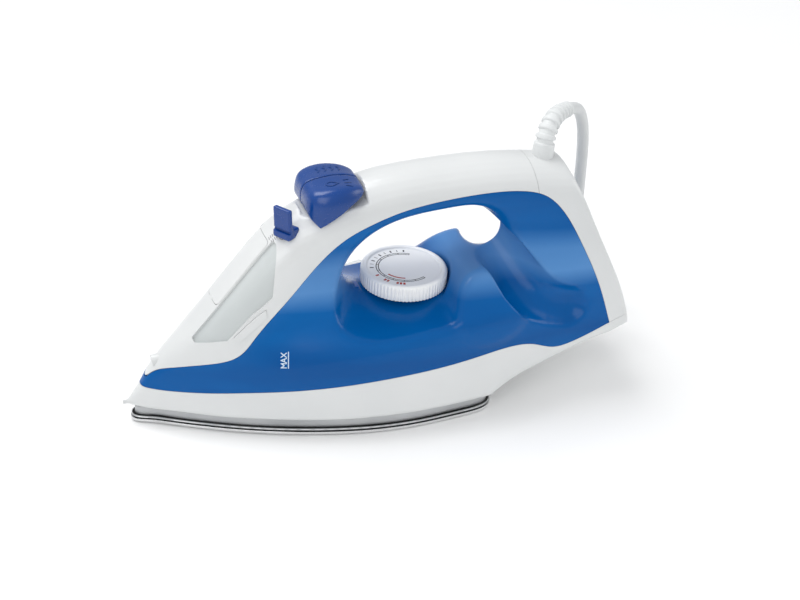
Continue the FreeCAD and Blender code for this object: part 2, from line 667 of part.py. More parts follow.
def button_block(inset):
    wires = []
    for x, half, crown in BUTTON_STATIONS:
        half, crown = across(half) - inset, up(crown) - inset
        low = up(112)
        rise = [(half, low), (half, low + 10), (half - 0.6, crown - 7.0), (half * 0.72, crown - 1.6)]
        arch = rise + [(0, crown)] + [(-y, z) for y, z in reversed(rise)]
        spline = Part.BSplineCurve()
        shift = inset * (1 if x < BUTTON_STATIONS[3][0] else -1)
        place = along(x) + (shift if x in (BUTTON_STATIONS[0][0], BUTTON_STATIONS[-1][0]) else 0)
        spline.interpolate([V(place, y, z) for y, z in arch])
        wires.append(Part.Wire([spline.toShape(), Part.makeLine(V(place, -half, low), V(place, half, low))]))
    return Part.makeLoft(wires, True, False)


def saddle_floor(x):
    (x0, z0), (x1, z1) = SADDLE[2], SADDLE[3]
    return up(z0 + (z1 - z0) * (x - x0) / (x1 - x0))


def button(side):
    """Half of the boat-shaped cap, hollow, with a stem that runs down to the pump's piston."""
    outline = side_polygon([(along(x), up(z)) for x, z in BUTTON_SIDE])
    cap = button_block(0.0).common(outline)
    half_space = block(along(80), along(140), min(0, side * FAR), max(0, side * FAR), 50, 200)
    cap = cap.common(half_space).cut(block(along(80), along(140), -BUTTON_SPLIT, BUTTON_SPLIT, 50, 200))
    hollow = button_block(BUTTON_WALL).common(half_space)
    hollow = hollow.cut(block(along(80), along(140), -BUTTON_SPLIT - BUTTON_WALL, BUTTON_SPLIT + BUTTON_WALL, 50, 200))
    cap = cap.cut(hollow)
    room = BUTTON_TRAVEL + GAP
    under = side_polygon([(along(80), saddle_floor(80) + room), (along(140), saddle_floor(140) + room),
                          (along(140), 50), (along(80), 50)])
    cap = cap.cut(under.common(button_block(BUTTON_WALL)))
    x, y = pump_axis(side)
    stem = cylinder(STEM_R, up(PISTON_HIGH), up(BUTTON_STATIONS[3][2]) - 2 * BUTTON_WALL, x, y)
    stem = stem.fuse(cylinder(STEM_R, up(PISTON_HIGH), up(BUTTON_STATIONS[3][2]), x, y).common(button_block(0.2)))
    return biggest(cap.fuse(stem).removeSplitter())


def button_spring(side):
    x, y = pump_axis(side)
    low = saddle_floor(PUMP_X) + 1.8
    return spring(SPRING_R - SPRING_WIRE, SPRING_WIRE, low, up(BUTTON_STATIONS[3][2]) - BUTTON_WALL - 2.4, x, y)


# ---- handle, nose and rear cover ----

def nozzle_axis():
    foot = V(along(NOZZLE_AT[0]), 0, up(NOZZLE_AT[1]))
    tilt = math.radians(NOZZLE_TILT)
    return foot, foot + V(-math.cos(tilt), 0, math.sin(tilt)) * NOZZLE_LENGTH


def nozzle_solid():
    foot, tip = nozzle_axis()
    return rod(foot, tip, NOZZLE_R)


def spray_nozzle():
    foot, tip = nozzle_axis()
    return nozzle_solid().cut(rod(foot, foot + (tip - foot) * 0.8, TUBE_BORE)).cut(rod(foot, tip, NOZZLE_HOLE_R))


def handle_cover():
    cover = FRONT.cut(door_space(DOOR_HALF + GAP, 2 * GAP, DOOR_ROOM)).cut(slider_slot()).cut(nozzle_solid())
    cover = cover.cut(barrel(KNUCKLE_R + 2 * GAP, -DOOR_HALF - GAP, DOOR_HALF + GAP))
    for side in (-1, 1):
        cover = cover.cut(cylinder(STEM_R + RUNNING, up(110), up(150), *pump_axis(side)))
    return biggest(cover)


def filler_door():
    door = OUTER.cut(envelope(DOOR_THICK)).common(door_space(DOOR_HALF, 0.0, DOOR_ROOM))
    door = biggest(door).cut(barrel(KNUCKLE_R + GAP, -TONGUE_HALF - GAP, TONGUE_HALF + GAP))
    for side in (-1, 1):
        y0, y1 = sorted((side * (TONGUE_HALF + GAP), side * KNUCKLE_HALF))
        door = door.fuse(barrel(KNUCKLE_R, y0, y1))
    return biggest(door.cut(barrel(PIN_R + RUNNING, -KNUCKLE_HALF - 1, KNUCKLE_HALF + 1)))


def filler_neck():
    """The mouth under the door that leads the water into the tank, with the arm that carries the door's pin."""
    x, pivot = along(NECK_X), door_pivot()
    neck = ring(FILLER_R + WALL, FILLER_R, up(NECK_LOW), crown_height(NECK_X) - NECK_DEPTH, x)
    arm = rod(pivot, V(x - FILLER_R - WALL / 2, 0, pivot.z - 4), ARM_R)
    tongue = barrel(KNUCKLE_R, -TONGUE_HALF, TONGUE_HALF)
    return neck.multiFuse([arm, tongue]).cut(barrel(PIN_R, -KNUCKLE_HALF, KNUCKLE_HALF))


def door_pin():
    return barrel(PIN_R, -KNUCKLE_HALF, KNUCKLE_HALF)


def rear_boss(side):
    return rear_screw(BOSS_R, REAR_SCREW_Z + 198, 284, side).common(INNER)


def rear_cover():
    cover = REAR
    for side in (-1, 1):
        cover = cover.fuse(rear_boss(side))
        cover = cover.cut(rear_screw(SCREW_R, 250, 300, side)).cut(rear_screw(SCREW_HEAD_R, 276.5, 300, side))
    return biggest(cover.cut(cylinder(GUARD_R + GAP, up(130), up(150), along(GUARD_X))))


def rear_screws():
    screws = []
    for side in (-1, 1):
        shank = rear_screw(SCREW_R, 269, 276.5, side)
        head = rear_screw(SCREW_HEAD_R - RUNNING, 276.5, 278.4, side)
        screws.append(shank.fuse(head))
    return screws


# ---- lamp, lens, wiring ----

def lens_solid():
    x = along(LENS_X)
    profile = ((x - 5, up(66)), (x + 4.5, up(66)), (x + 4.5, up(70.8)), (x + 1, up(71.2)), (x - 5, up(68.6)))
    return side_polygon(profile, -3, 3)


def pilot_lamp():
    x, y = along(LAMP_AT[0]), LAMP_AT[1]
    low = SHIELD_Z + SHIELD_THICK
    return cylinder(2.4, low, low + 10, x, y).fuse(cylinder(1.2, low + 10, low + 11.5, x, y))


def terminal_block():
    (x, z), (long, wide, high) = BLOCK_AT, BLOCK_SIZE
    body = block(along(x), along(x) + long, -wide / 2, wide / 2, up(z), up(z) + high)
    for y in (-WIRE_PITCH, 0.0, WIRE_PITCH):
        body = body.cut(cylinder(WIRE_R + 0.3, up(z) - 1, up(z) + high + 1, along(x) + long / 2, y))
    return body


def lead_wires():
    """Three wires from the cord guard, behind the tank, into the top of the terminal block."""
    x_end = along(BLOCK_AT[0]) + BLOCK_SIZE[0] / 2
    start = up(GUARD_ROUTE[0][2]) - GUARD_FLANGE
    wires = []
    for y in (-WIRE_PITCH, 0.0, WIRE_PITCH):
        route = ((along(GUARD_X), 0.5 * y, start), (along(GUARD_X), 0.5 * y, start - 3.5), (along(251), 0.8 * y, up(112)),
                 (along(263), y, up(90)), (x_end, y, up(72)), (x_end, y, up(58)))
        wires.append(tube(route, WIRE_R))
    return wires


def heater_wires():
    """Two wires from the terminal block to the element's blades, and the earth wire to the casting."""
    x_end = along(BLOCK_AT[0]) + BLOCK_SIZE[0] / 2
    blade_x, blade_y = along(ELEMENT[0][0]) + BLADE_REACH - 0.75, ELEMENT[0][1]
    blade_top = CASTING_TOP + BLADE_HIGH
    wires = []
    for y, end_x, end_y, end_z in ((-WIRE_PITCH, blade_x, -blade_y, blade_top), (0.0, blade_x, 0.0, CASTING_TOP),
                                   (WIRE_PITCH, blade_x, blade_y, blade_top)):
        route = ((x_end, y, up(56)), (x_end, y, up(44.6)), (along(256), y, up(39.4)), (along(234), 1.6 * y, up(31.4)),
                 (along(214), 2.4 * y, up(24.5)), (along(203), 0.5 * (2.8 * y + end_y), up(21)), (end_x, end_y, end_z + 6),
                 (end_x, end_y, end_z))
        wires.append(tube(route, WIRE_R))
    return wires


def spray_tube():
    foot, tip = nozzle_axis()
    behind = foot + (foot - tip) * 0.5
    x, y = pump_axis(-1)
    route = ((foot.x, 0, foot.z), (behind.x, 0, behind.z), (along(42), -9, up(56)), (along(62), -12.5, up(78)),
             (along(84), -10, up(101)), (x - PUMP_BORE - PUMP_WALL - GAP, y, up(104)))
    return tube(route, TUBE_R, TUBE_BORE)


def steam_hose():
    x, y = pump_axis(1)
    return ring(TUBE_R, TUBE_BORE, COVER_TOP, up(PUMP_LOW), x, y)


def suction_tube():
    x, y = pump_axis(-1)
    return ring(TUBE_R, TUBE_BORE, up(46), up(PUMP_LOW), x, y)


# ---- cord ----

def cord_bush():
    """A split bush under the handle's top that the guard's flange turns in."""
    x = along(GUARD_X)
    high = up(GUARD_ROUTE[0][2])
    low = high - GUARD_FLANGE
    bush = cylinder(GUARD_FLANGE_R + BUSH_WALL, low - BUSH_WALL, high + BUSH_TOP, x)
    bush = bush.cut(cylinder(GUARD_FLANGE_R + RUNNING, low - RUNNING, high + RUNNING, x))
    bush = bush.cut(cylinder(GUARD_R + RUNNING, low, high + 2 * BUSH_TOP, x))
    return bush.cut(cylinder(GUARD_R - 1, low - 2 * BUSH_WALL, low, x))


def cord_guard():
    route = [(along(x), y, up(z)) for x, y, z in GUARD_ROUTE]
    low = up(GUARD_ROUTE[0][2])
    flange = cylinder(GUARD_FLANGE_R, low - GUARD_FLANGE, low, along(GUARD_X))
    return flange.fuse(tube(route, GUARD_R))


def cord_coil():
    half = COIL_ROWS * CORD_D / 2
    return ring(COIL_TURN_R + half, COIL_TURN_R - half, TIE_THICK, TIE_THICK + COIL_LAYERS * CORD_D, COIL_X, COIL_Y)


def cord_drop():
    start = [(along(x), y, up(z)) for x, y, z in DROP_ROUTE[:1]]
    return tube(start + list(DROP_ROUTE[1:]), CORD_D / 2)


def cord_floor():
    return tube(FLOOR_ROUTE, CORD_D / 2)


def cord_tail():
    return tube(TAIL_ROUTE, CORD_D / 2)


def cord_tie():
    """A band round the coil's turns, under them and over them."""
    half = COIL_ROWS * CORD_D / 2
    top = TIE_THICK + COIL_LAYERS * CORD_D
    outer, inner = COIL_X - COIL_TURN_R - half, COIL_X - COIL_TURN_R + half
    y0, y1 = COIL_Y - TIE_WIDE / 2, COIL_Y + TIE_WIDE / 2
    room = TIE_WIDE ** 2 / (8 * (COIL_TURN_R - half)) + RUNNING
    band = block(outer - TIE_THICK, inner + room + TIE_THICK, y0, y1, 0, top + TIE_THICK)
    return band.cut(block(outer, inner + room, y0 - 1, y1 + 1, TIE_THICK, top))


def plug_line():
    """The point where the cord enters the plug, and the direction the plug points in."""
    before, entry = V(*TAIL_ROUTE[-2]), V(*TAIL_ROUTE[-1])
    ahead = entry.sub(before)
    ahead.normalize()
    return entry, ahead


def plug_body():
    entry, ahead = plug_line()
    side = V(0, 0, 1)
    profile = ((0, 0), (0, PLUG_GRIP_R - 3), (3, PLUG_GRIP_R), (18, PLUG_GRIP_R + 1), (PLUG_LENGTH - PLUG_FACE, PLUG_R - 2),
               (PLUG_LENGTH - PLUG_FACE + 2, PLUG_R), (PLUG_LENGTH, PLUG_R), (PLUG_LENGTH, 0))
    corners = [entry + ahead * a + side * r for a, r in profile]
    return Part.Face(Part.makePolygon(corners + corners[:1])).revolve(entry, ahead, 360)


def plug_pins():
    entry, ahead = plug_line()
    across_plug = ahead.cross(V(0, 0, 1))
    face = entry + ahead * PLUG_LENGTH
    pins = []
    for side in (-0.5, 0.5):
        foot = face + across_plug * (side * PLUG_PIN_PITCH)
        pins.append(rod(foot, foot + ahead * (PIN_LENGTH - 1), PLUG_PIN_R).fuse(
            rod(foot + ahead * (PIN_LENGTH - 1), foot + ahead * PIN_LENGTH, PLUG_PIN_R - 0.7)))
    return pins


# ---- every piece by name ----

def one_shape(made):
    return Part.makeCompound(made) if isinstance(made, list) else made


def main():
    os.makedirs("parts", exist_ok=True)
    pieces = {
        "sole_sheet": sole_sheet(),
        "sole_casting": sole_casting(),
        "heating_element": element_solid(),
        "element_terminals": element_terminals(),
        "steam_chamber_cover": chamber_cover(),
        "thermostat": thermostat(),
        "thermostat_spindle": spindle(),
        "thermal_fuse": thermal_fuse(),
        "heat_shield": heat_shield(),
        "sole_screws": sole_screws(),
        "base_skirt": SKIRT,
        "water_tank": water_tank(),
        "tank_floor": tank_floor(),
        "tank_lid": tank_lid(),
        "spindle_tube": spindle_tube(),
        "steam_valve_seat": valve_seat(),
        "steam_valve_rod": valve_rod(),
        "steam_slider": steam_slider(),
        "spray_pump": pump_barrel(-1),
        "steam_pump": pump_barrel(1),
        "spray_piston": pump_piston(-1),
        "steam_piston": pump_piston(1),
        "spray_button": button(-1),
        "steam_button": button(1),
        "spray_spring": button_spring(-1),
        "steam_spring": button_spring(1),
        "suction_tube": suction_tube(),
        "steam_hose": steam_hose(),
        "spray_tube": spray_tube(),
        "spray_nozzle": spray_nozzle(),
        "handle_cover": handle_cover(),
        "filler_door": filler_door(),
        "filler_hinge_pin": door_pin(),
        "filler_neck": filler_neck(),
        "rear_cover": rear_cover(),
        "rear_cover_screws": rear_screws(),
        "temperature_dial": temperature_dial(),
        "pilot_lens": lens_solid(),
        "pilot_lamp": pilot_lamp(),
        "terminal_block": terminal_block(),
        "lead_wires": lead_wires(),
        "heater_wires": heater_wires(),
        "cord_bush": cord_bush(),
        "cord_guard": cord_guard(),
        "cord_drop": cord_drop(),
        "cord_floor": cord_floor(),
        "cord_coil": cord_coil(),
        "cord_tail": cord_tail(),
        "cord_tie": cord_tie(),
        "plug_body": plug_body(),
        "plug_pins": plug_pins(),
    }
    for name, made in pieces.items():
        export(name, one_shape(made))
    for name, route in (("guard", GUARD_ROUTE), ("drop", DROP_ROUTE), ("floor", FLOOR_ROUTE), ("tail", TAIL_ROUTE)):
        path, radii = smooth_path(route)
        print(name, "length", round(path.Length, 1), "mm, arc radii", [round(r, 1) for r in radii])
    turns = COIL_ROWS * COIL_LAYERS * 2 * math.pi * COIL_TURN_R
    print("turns of the coil", round(turns), "mm")


main()
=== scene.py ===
# %% [markdown]
# # A steam iron, piece by piece
# The iron stands on its polished sole. Its solid parts come from a frame of named CAD nodes. Here
# each one that shows gets a finer surface and a finish. All sizes in the cells are millimetres, in a
# layout where x runs from the sole's tip to the heel, and `place` turns them into the frame's metres.

# %% Load the frame
import json
import bpy
import numpy as np
from mathutils import Matrix, Vector

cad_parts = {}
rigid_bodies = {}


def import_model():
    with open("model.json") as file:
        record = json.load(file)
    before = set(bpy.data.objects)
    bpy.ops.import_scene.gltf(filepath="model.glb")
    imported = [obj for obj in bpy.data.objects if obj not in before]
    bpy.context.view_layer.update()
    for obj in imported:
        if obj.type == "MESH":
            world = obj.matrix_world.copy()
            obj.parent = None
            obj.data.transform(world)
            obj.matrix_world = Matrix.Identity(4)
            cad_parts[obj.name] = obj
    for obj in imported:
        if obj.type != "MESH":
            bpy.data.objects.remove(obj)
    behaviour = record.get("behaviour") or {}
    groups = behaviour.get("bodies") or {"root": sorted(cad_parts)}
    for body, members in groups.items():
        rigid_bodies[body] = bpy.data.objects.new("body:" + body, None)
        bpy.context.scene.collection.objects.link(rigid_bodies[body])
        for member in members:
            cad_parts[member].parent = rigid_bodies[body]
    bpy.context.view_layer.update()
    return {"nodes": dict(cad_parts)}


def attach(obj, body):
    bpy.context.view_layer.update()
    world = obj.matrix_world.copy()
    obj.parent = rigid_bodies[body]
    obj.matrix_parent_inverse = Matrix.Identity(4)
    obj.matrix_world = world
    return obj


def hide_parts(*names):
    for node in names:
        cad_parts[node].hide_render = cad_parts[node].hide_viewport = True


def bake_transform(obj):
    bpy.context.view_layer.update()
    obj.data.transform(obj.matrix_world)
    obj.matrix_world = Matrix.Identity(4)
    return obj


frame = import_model()
SHIFT = np.array([143.5, 0.0, 0.0])      # layout x of the frame's origin


def place(points):
    """Layout millimetres to frame metres: subtract the shift, divide by 1000."""
    return (np.asarray(points, float) - SHIFT) / 1000


# %% [markdown]
# ## Camera
# The iron is seen from its left side, a little from the tip and well from above, as it lies on a
# table in front of somebody. A long lens keeps its lines calm.

# %% Camera
TURN, RAISE, ROLL, AWAY = np.radians(20), np.radians(31), np.radians(3.5), 1.1
ahead = np.array([np.cos(RAISE) * np.sin(TURN), np.cos(RAISE) * np.cos(TURN), -np.sin(RAISE)])
level = np.array([np.cos(TURN), -np.sin(TURN), 0])
above = np.cross(level, ahead)
right = np.cos(ROLL) * level + np.sin(ROLL) * above
upward = np.cos(ROLL) * above - np.sin(ROLL) * level
look = np.array([-0.0003, -0.001, 0.065])
camera_data = bpy.data.cameras.new("camera")
camera = bpy.data.objects.new("camera", camera_data)
bpy.context.scene.collection.objects.link(camera)
turned = Matrix([[*row] for row in np.column_stack([right, upward, -ahead])]).to_4x4()
camera.matrix_world = Matrix.Translation(Vector(look - AWAY * ahead)) @ turned
camera_data.lens = 86.6
camera_data.shift_x, camera_data.shift_y = 0.02875, -0.01125
bpy.context.scene.camera = camera
print("camera at", [round(v, 3) for v in camera.location])

# %% [markdown]
# ## Finishes
# Moulded plastic is never one flat colour: it has a faint orange-peel skin, and its gloss wanders.
# One helper builds that: a colour with soft clouds in it, a roughness that varies, and a fine bump.

# %% A helper for finishes
GRAIN_DEPTH = 0.0002                     # metres


def node_set(name):
    """A material with nodes: the material, its node tree and its shader."""
    material = bpy.data.materials.new(name)
    material.use_nodes = True
    tree = material.node_tree
    return material, tree, tree.nodes["Principled BSDF"]


def clouds(tree, scale, detail=3.0, stretch=(1, 1, 1)):
    """Noise on the piece's own object coordinates, stretched by a mapping."""
    coords = tree.nodes.new("ShaderNodeTexCoord")
    mapping = tree.nodes.new("ShaderNodeMapping")
    mapping.inputs["Scale"].default_value = stretch
    noise = tree.nodes.new("ShaderNodeTexNoise")
    noise.inputs["Scale"].default_value = scale
    noise.inputs["Detail"].default_value = detail
    tree.links.new(coords.outputs["Object"], mapping.inputs["Vector"])
    tree.links.new(mapping.outputs["Vector"], noise.inputs["Vector"])
    return noise


def ramp(tree, source, low, high, start=0.35, end=0.65):
    """A colour that goes from low to high as the source goes from start to end."""
    blend = tree.nodes.new("ShaderNodeValToRGB")
    blend.color_ramp.elements[0].position = start
    blend.color_ramp.elements[1].position = end
    blend.color_ramp.elements[0].color = (*low, 1)
    blend.color_ramp.elements[1].color = (*high, 1)
    tree.links.new(source, blend.inputs["Fac"])
    return blend


def relief(tree, shader, fine, strength):
    """Bumps the shader's normal by a fine noise."""
    bump = tree.nodes.new("ShaderNodeBump")
    bump.inputs["Strength"].default_value = strength
    bump.inputs["Distance"].default_value = GRAIN_DEPTH
    tree.links.new(fine.outputs["Fac"], bump.inputs["Height"])
    tree.links.new(bump.outputs["Normal"], shader.inputs["Normal"])


def finish(name, low, high, rough=(0.3, 0.4), metal=0.0, grain=900.0, bump=0.06, cloud=12.0,
           stretch=(1, 1, 1), coat=0.0, subsurface=0.0):
    """A finish: two colours mixed by clouds, a gloss that wanders between two values, and a fine bump."""
    material, tree, shader = node_set(name)
    soft = clouds(tree, cloud, stretch=stretch)
    tree.links.new(ramp(tree, soft.outputs["Fac"], low, high).outputs["Color"], shader.inputs["Base Color"])
    spread = tree.nodes.new("ShaderNodeMapRange")
    spread.inputs["To Min"].default_value, spread.inputs["To Max"].default_value = rough
    fine = clouds(tree, grain, 2.0, stretch)
    tree.links.new(fine.outputs["Fac"], spread.inputs["Value"])
    tree.links.new(spread.outputs["Result"], shader.inputs["Roughness"])
    relief(tree, shader, fine, bump)
    shader.inputs["Metallic"].default_value = metal
    shader.inputs["Coat Weight"].default_value = coat
    shader.inputs["Coat Roughness"].default_value = 0.12
    if subsurface:
        shader.inputs["Subsurface Weight"].default_value = subsurface
        shader.inputs["Subsurface Radius"].default_value = (0.004, 0.004, 0.005)
        shader.inputs["Subsurface Scale"].default_value = 1.0
    return material


white = finish("white_shell", (0.64, 0.652, 0.65), (0.69, 0.70, 0.695), (0.26, 0.34), coat=0.2, bump=0.015)
# painted shade: the nose's sunk white panels are grey for the shade in their recess
sunk_panel_shade_grey = finish("nose_panel_painted_shade", (0.50, 0.53, 0.53), (0.55, 0.58, 0.575), (0.35, 0.45))
button_blue = finish("button_blue", (0.0, 0.036, 0.19), (0.001, 0.05, 0.25), (0.22, 0.3), bump=0.02)
navy = finish("slider_navy", (0.0, 0.032, 0.19), (0.001, 0.042, 0.23), (0.22, 0.3), bump=0.02)


HANDLE_TOP = 0.145                       # metres


def tank_finish():
    """Clear blue plastic: deep below, and a pale painted band of light where daylight comes through the
    deck. The object's height, as a share of the handle's, picks how much of that painted light is mixed in."""
    material, tree, shader = node_set("tank_blue")
    soft = clouds(tree, 14.0, stretch=(0.35, 1, 2.2))
    deep = ramp(tree, soft.outputs["Fac"], (0.0, 0.075, 0.28), (0.0, 0.115, 0.38))
    coords = tree.nodes.new("ShaderNodeTexCoord")
    axes = tree.nodes.new("ShaderNodeSeparateXYZ")
    tree.links.new(coords.outputs["Object"], axes.inputs["Vector"])
    # painted light: a pale band by height that stands for daylight through the deck
    lit = tree.nodes.new("ShaderNodeValToRGB")
    stops = lit.color_ramp.elements
    stops[0].position, stops[0].color = 0.50, (0, 0, 0, 1)
    stops[1].position, stops[1].color = 0.575, (0.75, 0.75, 0.75, 1)
    for position, level in ((0.66, 0.6), (0.74, 0.0)):
        stop = stops.new(position)
        stop.color = (level, level, level, 1)
    height = tree.nodes.new("ShaderNodeMath")
    height.operation = "MULTIPLY"
    height.inputs[1].default_value = 1 / HANDLE_TOP
    tree.links.new(axes.outputs["Z"], height.inputs[0])
    tree.links.new(height.outputs["Value"], lit.inputs["Fac"])
    mix = tree.nodes.new("ShaderNodeMix")
    mix.data_type = "RGBA"
    tree.links.new(lit.outputs["Color"], mix.inputs["Factor"])
    tree.links.new(deep.outputs["Color"], mix.inputs[6])
    mix.inputs[7].default_value = (0.12, 0.30, 0.60, 1)
    tree.links.new(mix.outputs[2], shader.inputs["Base Color"])
    relief(tree, shader, clouds(tree, 260.0), 0.02)
    shader.inputs["Roughness"].default_value = 0.2
    shader.inputs["Specular IOR Level"].default_value = 0.18
    return material


tank_blue = tank_finish()
steel = finish("polished_steel", (0.66, 0.665, 0.67), (0.78, 0.78, 0.785), (0.06, 0.14), metal=1.0, grain=500.0,
               stretch=(0.1, 1, 4), bump=0.02)
# painted shade and reflection: the sole's wall under the skirt is near-black for the shadow there and the dark
# reflection on its side
painted_dark_sole_wall = finish("sole_wall_painted_shade_and_reflection", (0.022, 0.022, 0.022), (0.05, 0.05, 0.05), (0.14, 0.26), metal=1.0, bump=0.05)
# dark: the own colour of the dark inner parts, and painted shade where it fills the sole's groove
dark = finish("dark_parts_and_painted_groove_shade", (0.012, 0.013, 0.015), (0.025, 0.026, 0.03), (0.4, 0.6))
black_ink = finish("black_ink", (0.02, 0.02, 0.022), (0.04, 0.04, 0.045), (0.45, 0.6), bump=0.0)
red_ink = finish("red_ink", (0.42, 0.03, 0.02), (0.5, 0.05, 0.03), (0.45, 0.6), bump=0.0)
pale_ink = finish("pale_ink", (0.55, 0.66, 0.78), (0.62, 0.72, 0.82), (0.35, 0.5), bump=0.0)
guard_skin = finish("guard_rubber", (0.66, 0.675, 0.675), (0.72, 0.735, 0.73), (0.4, 0.55), bump=0.15)
cord_skin = finish("cord_jacket", (0.60, 0.615, 0.615), (0.67, 0.68, 0.68), (0.4, 0.5), bump=0.15)
brass = finish("pin_brass", (0.55, 0.50, 0.40), (0.66, 0.60, 0.48), (0.2, 0.35), metal=1.0)
print("finishes", len(bpy.data.materials))

# %% [markdown]
# ## Putting a surface into Blender
# Every new piece is an array of points and an array of triangles. One helper writes both into a mesh
# at once, shades it smooth with sharp edges where it turns quickly, and ties it to its CAD body.

# %% A helper for meshes


def add(name, points, faces, material, body, slot, replaced=(), sharp=38.0, in_mm=True):
    """Makes a mesh object from points (n, 3) and faces (m, 3) or (m, 4)."""
    faces = np.asarray(faces, np.int32)
    where = place(points) if in_mm else np.asarray(points)
    mesh = bpy.data.meshes.new(name)
    mesh.vertices.add(len(where))
    mesh.vertices.foreach_set("co", where.astype(np.float32).ravel())
    mesh.loops.add(faces.size)
    mesh.loops.foreach_set("vertex_index", faces.ravel())
    mesh.polygons.add(len(faces))
    mesh.polygons.foreach_set("loop_start", np.arange(len(faces), dtype=np.int32) * faces.shape[1])
    mesh.update(calc_edges=True)
    mesh.validate()
    mesh.shade_smooth()
    mesh.set_sharp_from_angle(angle=np.radians(sharp))
    mesh.materials.append(material)
    piece = bpy.data.objects.new(name, mesh)
    bpy.context.scene.collection.objects.link(piece)
    if body:
        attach(piece, body)
    if replaced:
        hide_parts(*replaced)
    print(name, len(where), "points", len(faces), "faces")
    return piece


def grid_faces(rows, columns, close_rows=False, close_columns=False):
    """Quads between neighbours of a rows by columns grid of points."""
    index = np.arange(rows * columns).reshape(rows, columns)
    if close_rows:
        index = np.vstack([index, index[:1]])
    if close_columns:
        index = np.hstack([index, index[:, :1]])
    a, b, c, d = index[:-1, :-1], index[:-1, 1:], index[1:, 1:], index[1:, :-1]
    return np.stack([a, b, c, d], -1).reshape(-1, 4)

# %% [markdown]
# ## The cord
# A cord is a fixed length of something flexible. It leaves the guard at the handle's rear corner,
# falls over the heel, bends out onto the table and winds into a coil of six turns: three turns in an
# upper layer, inward, and three in a lower layer, outward. Its last stretch rises into the plug. One
# smooth NURBS line carries all of it, and the round cord is a tube carried along that line.

# %% The cord's line
GUARD = np.array([(238, 0, 133.5), (238, 0, 150), (243.5, 5.5, 159), (252, 13.5, 160.5), (261, 22.5, 157)])
DROP = np.array([(270, 31.5, 153.5), (278.2, 40.2, 145.5), (284.4, 47, 133), (288, 51, 117), (289.6, 53.2, 95),
                 (290.3, 54, 80), (290.5, 54.15, 66.5)])
FLOOR = np.array([(290.8, 54.9, 44.5), (293.4, 66, 27), (294.3, 84.6, 14.6)])
TAIL = np.array([(231.9, 119.5, 4.3), (211.2, 110.7, 4.3), (190.6, 103.2, 18.5), (169.9, 95.6, 18.5)])
COIL_MIDDLE, CORD_D = np.array([248.0, 74.0]), 7.0
TURN_KNOTS = np.array([(0, 47, 11.3), (300, 47, 11.3), (360, 40, 11.3), (660, 40, 11.3), (720, 33, 11.3),
                       (1020, 33, 11.3), (1080, 33, 4.3), (1380, 33, 4.3), (1440, 40, 4.3), (1740, 40, 4.3),
                       (1800, 47, 4.3), (2150, 47, 4.3), (2222, 49, 4.3)])


def coil(start, per_turn=16):
    """Points round the coil: the angle grows evenly, and radius and height follow the knots."""
    angle = np.linspace(0, TURN_KNOTS[-1, 0], int(per_turn * TURN_KNOTS[-1, 0] / 360))
    radius = np.interp(angle, TURN_KNOTS[:, 0], TURN_KNOTS[:, 1])
    height = np.interp(angle, TURN_KNOTS[:, 0], TURN_KNOTS[:, 2])
    turn = np.radians(start + angle)
    return np.column_stack([COIL_MIDDLE[0] + radius * np.cos(turn), COIL_MIDDLE[1] + radius * np.sin(turn),
                            height])


route = np.vstack([GUARD[-1:], DROP, FLOOR, coil(38), TAIL])


def nurbs_line(name, points):
    """A curve object of one NURBS spline of order 3 that starts and ends on its end points."""
    curve = bpy.data.curves.new(name, "CURVE")
    curve.dimensions = "3D"
    spline = curve.splines.new("NURBS")
    spline.points.add(len(points) - 1)
    for knot, point in zip(spline.points, place(points)):
        knot.co = (*point, 1)
    spline.order_u, spline.use_endpoint_u, spline.resolution_u = 3, True, 6
    return bpy.data.objects.new(name, curve)


def stretches(path):
    """The distance from each point of a path to the next."""
    return np.linalg.norm(np.diff(path, axis=0), axis=1)


def line_points(points):
    """The points that Blender itself puts on the NURBS line."""
    holder = nurbs_line("line", points)
    mesh = bpy.data.meshes.new_from_object(holder)
    found = np.array([v.co for v in mesh.vertices])
    curve = holder.data
    bpy.data.objects.remove(holder)
    bpy.data.curves.remove(curve)
    bpy.data.meshes.remove(mesh)
    return found


def tube(path, radius, around=16):
    """A circle carried along the path. Its own upright turns with the path by the smallest angle at
    each step, so the tube doesn't twist. radius is one number or one per point. Ends are closed."""
    path = np.asarray(path)
    along = np.gradient(path, axis=0)
    along /= np.linalg.norm(along, axis=1)[:, None]
    side = np.zeros_like(path)
    guess = np.cross(along[0], (0.3, 0.2, 0.9))
    for i, heading in enumerate(along):
        guess = guess - heading * (guess @ heading)
        guess /= np.linalg.norm(guess)
        side[i] = guess
    other = np.cross(along, side)
    radius = np.broadcast_to(np.asarray(radius, float), len(path))[:, None, None]
    angle = np.linspace(0, 2 * np.pi, around, endpoint=False)
    ring = np.cos(angle)[None, :, None] * side[:, None] + np.sin(angle)[None, :, None] * other[:, None]
    points = (path[:, None] + radius * ring).reshape(-1, 3)
    faces = grid_faces(len(path), around, close_columns=True)
    first, last = len(points), len(points) + 1
    points = np.vstack([points, path[:1], path[-1:]])
    start = np.arange(around)
    end = (len(path) - 1) * around + start
    caps = np.vstack([np.column_stack([np.roll(start, -1), start, np.full(around, first)]),
                      np.column_stack([end, np.roll(end, -1), np.full(around, last)])])
    return points, triangles(faces, caps)


def triangles(quads, caps=None):
    """Each quad split in two, with any caps added."""
    split = np.vstack([quads[:, [0, 1, 2]], quads[:, [0, 2, 3]]])
    return split if caps is None else np.vstack([split, caps])


cord_path = line_points(route)
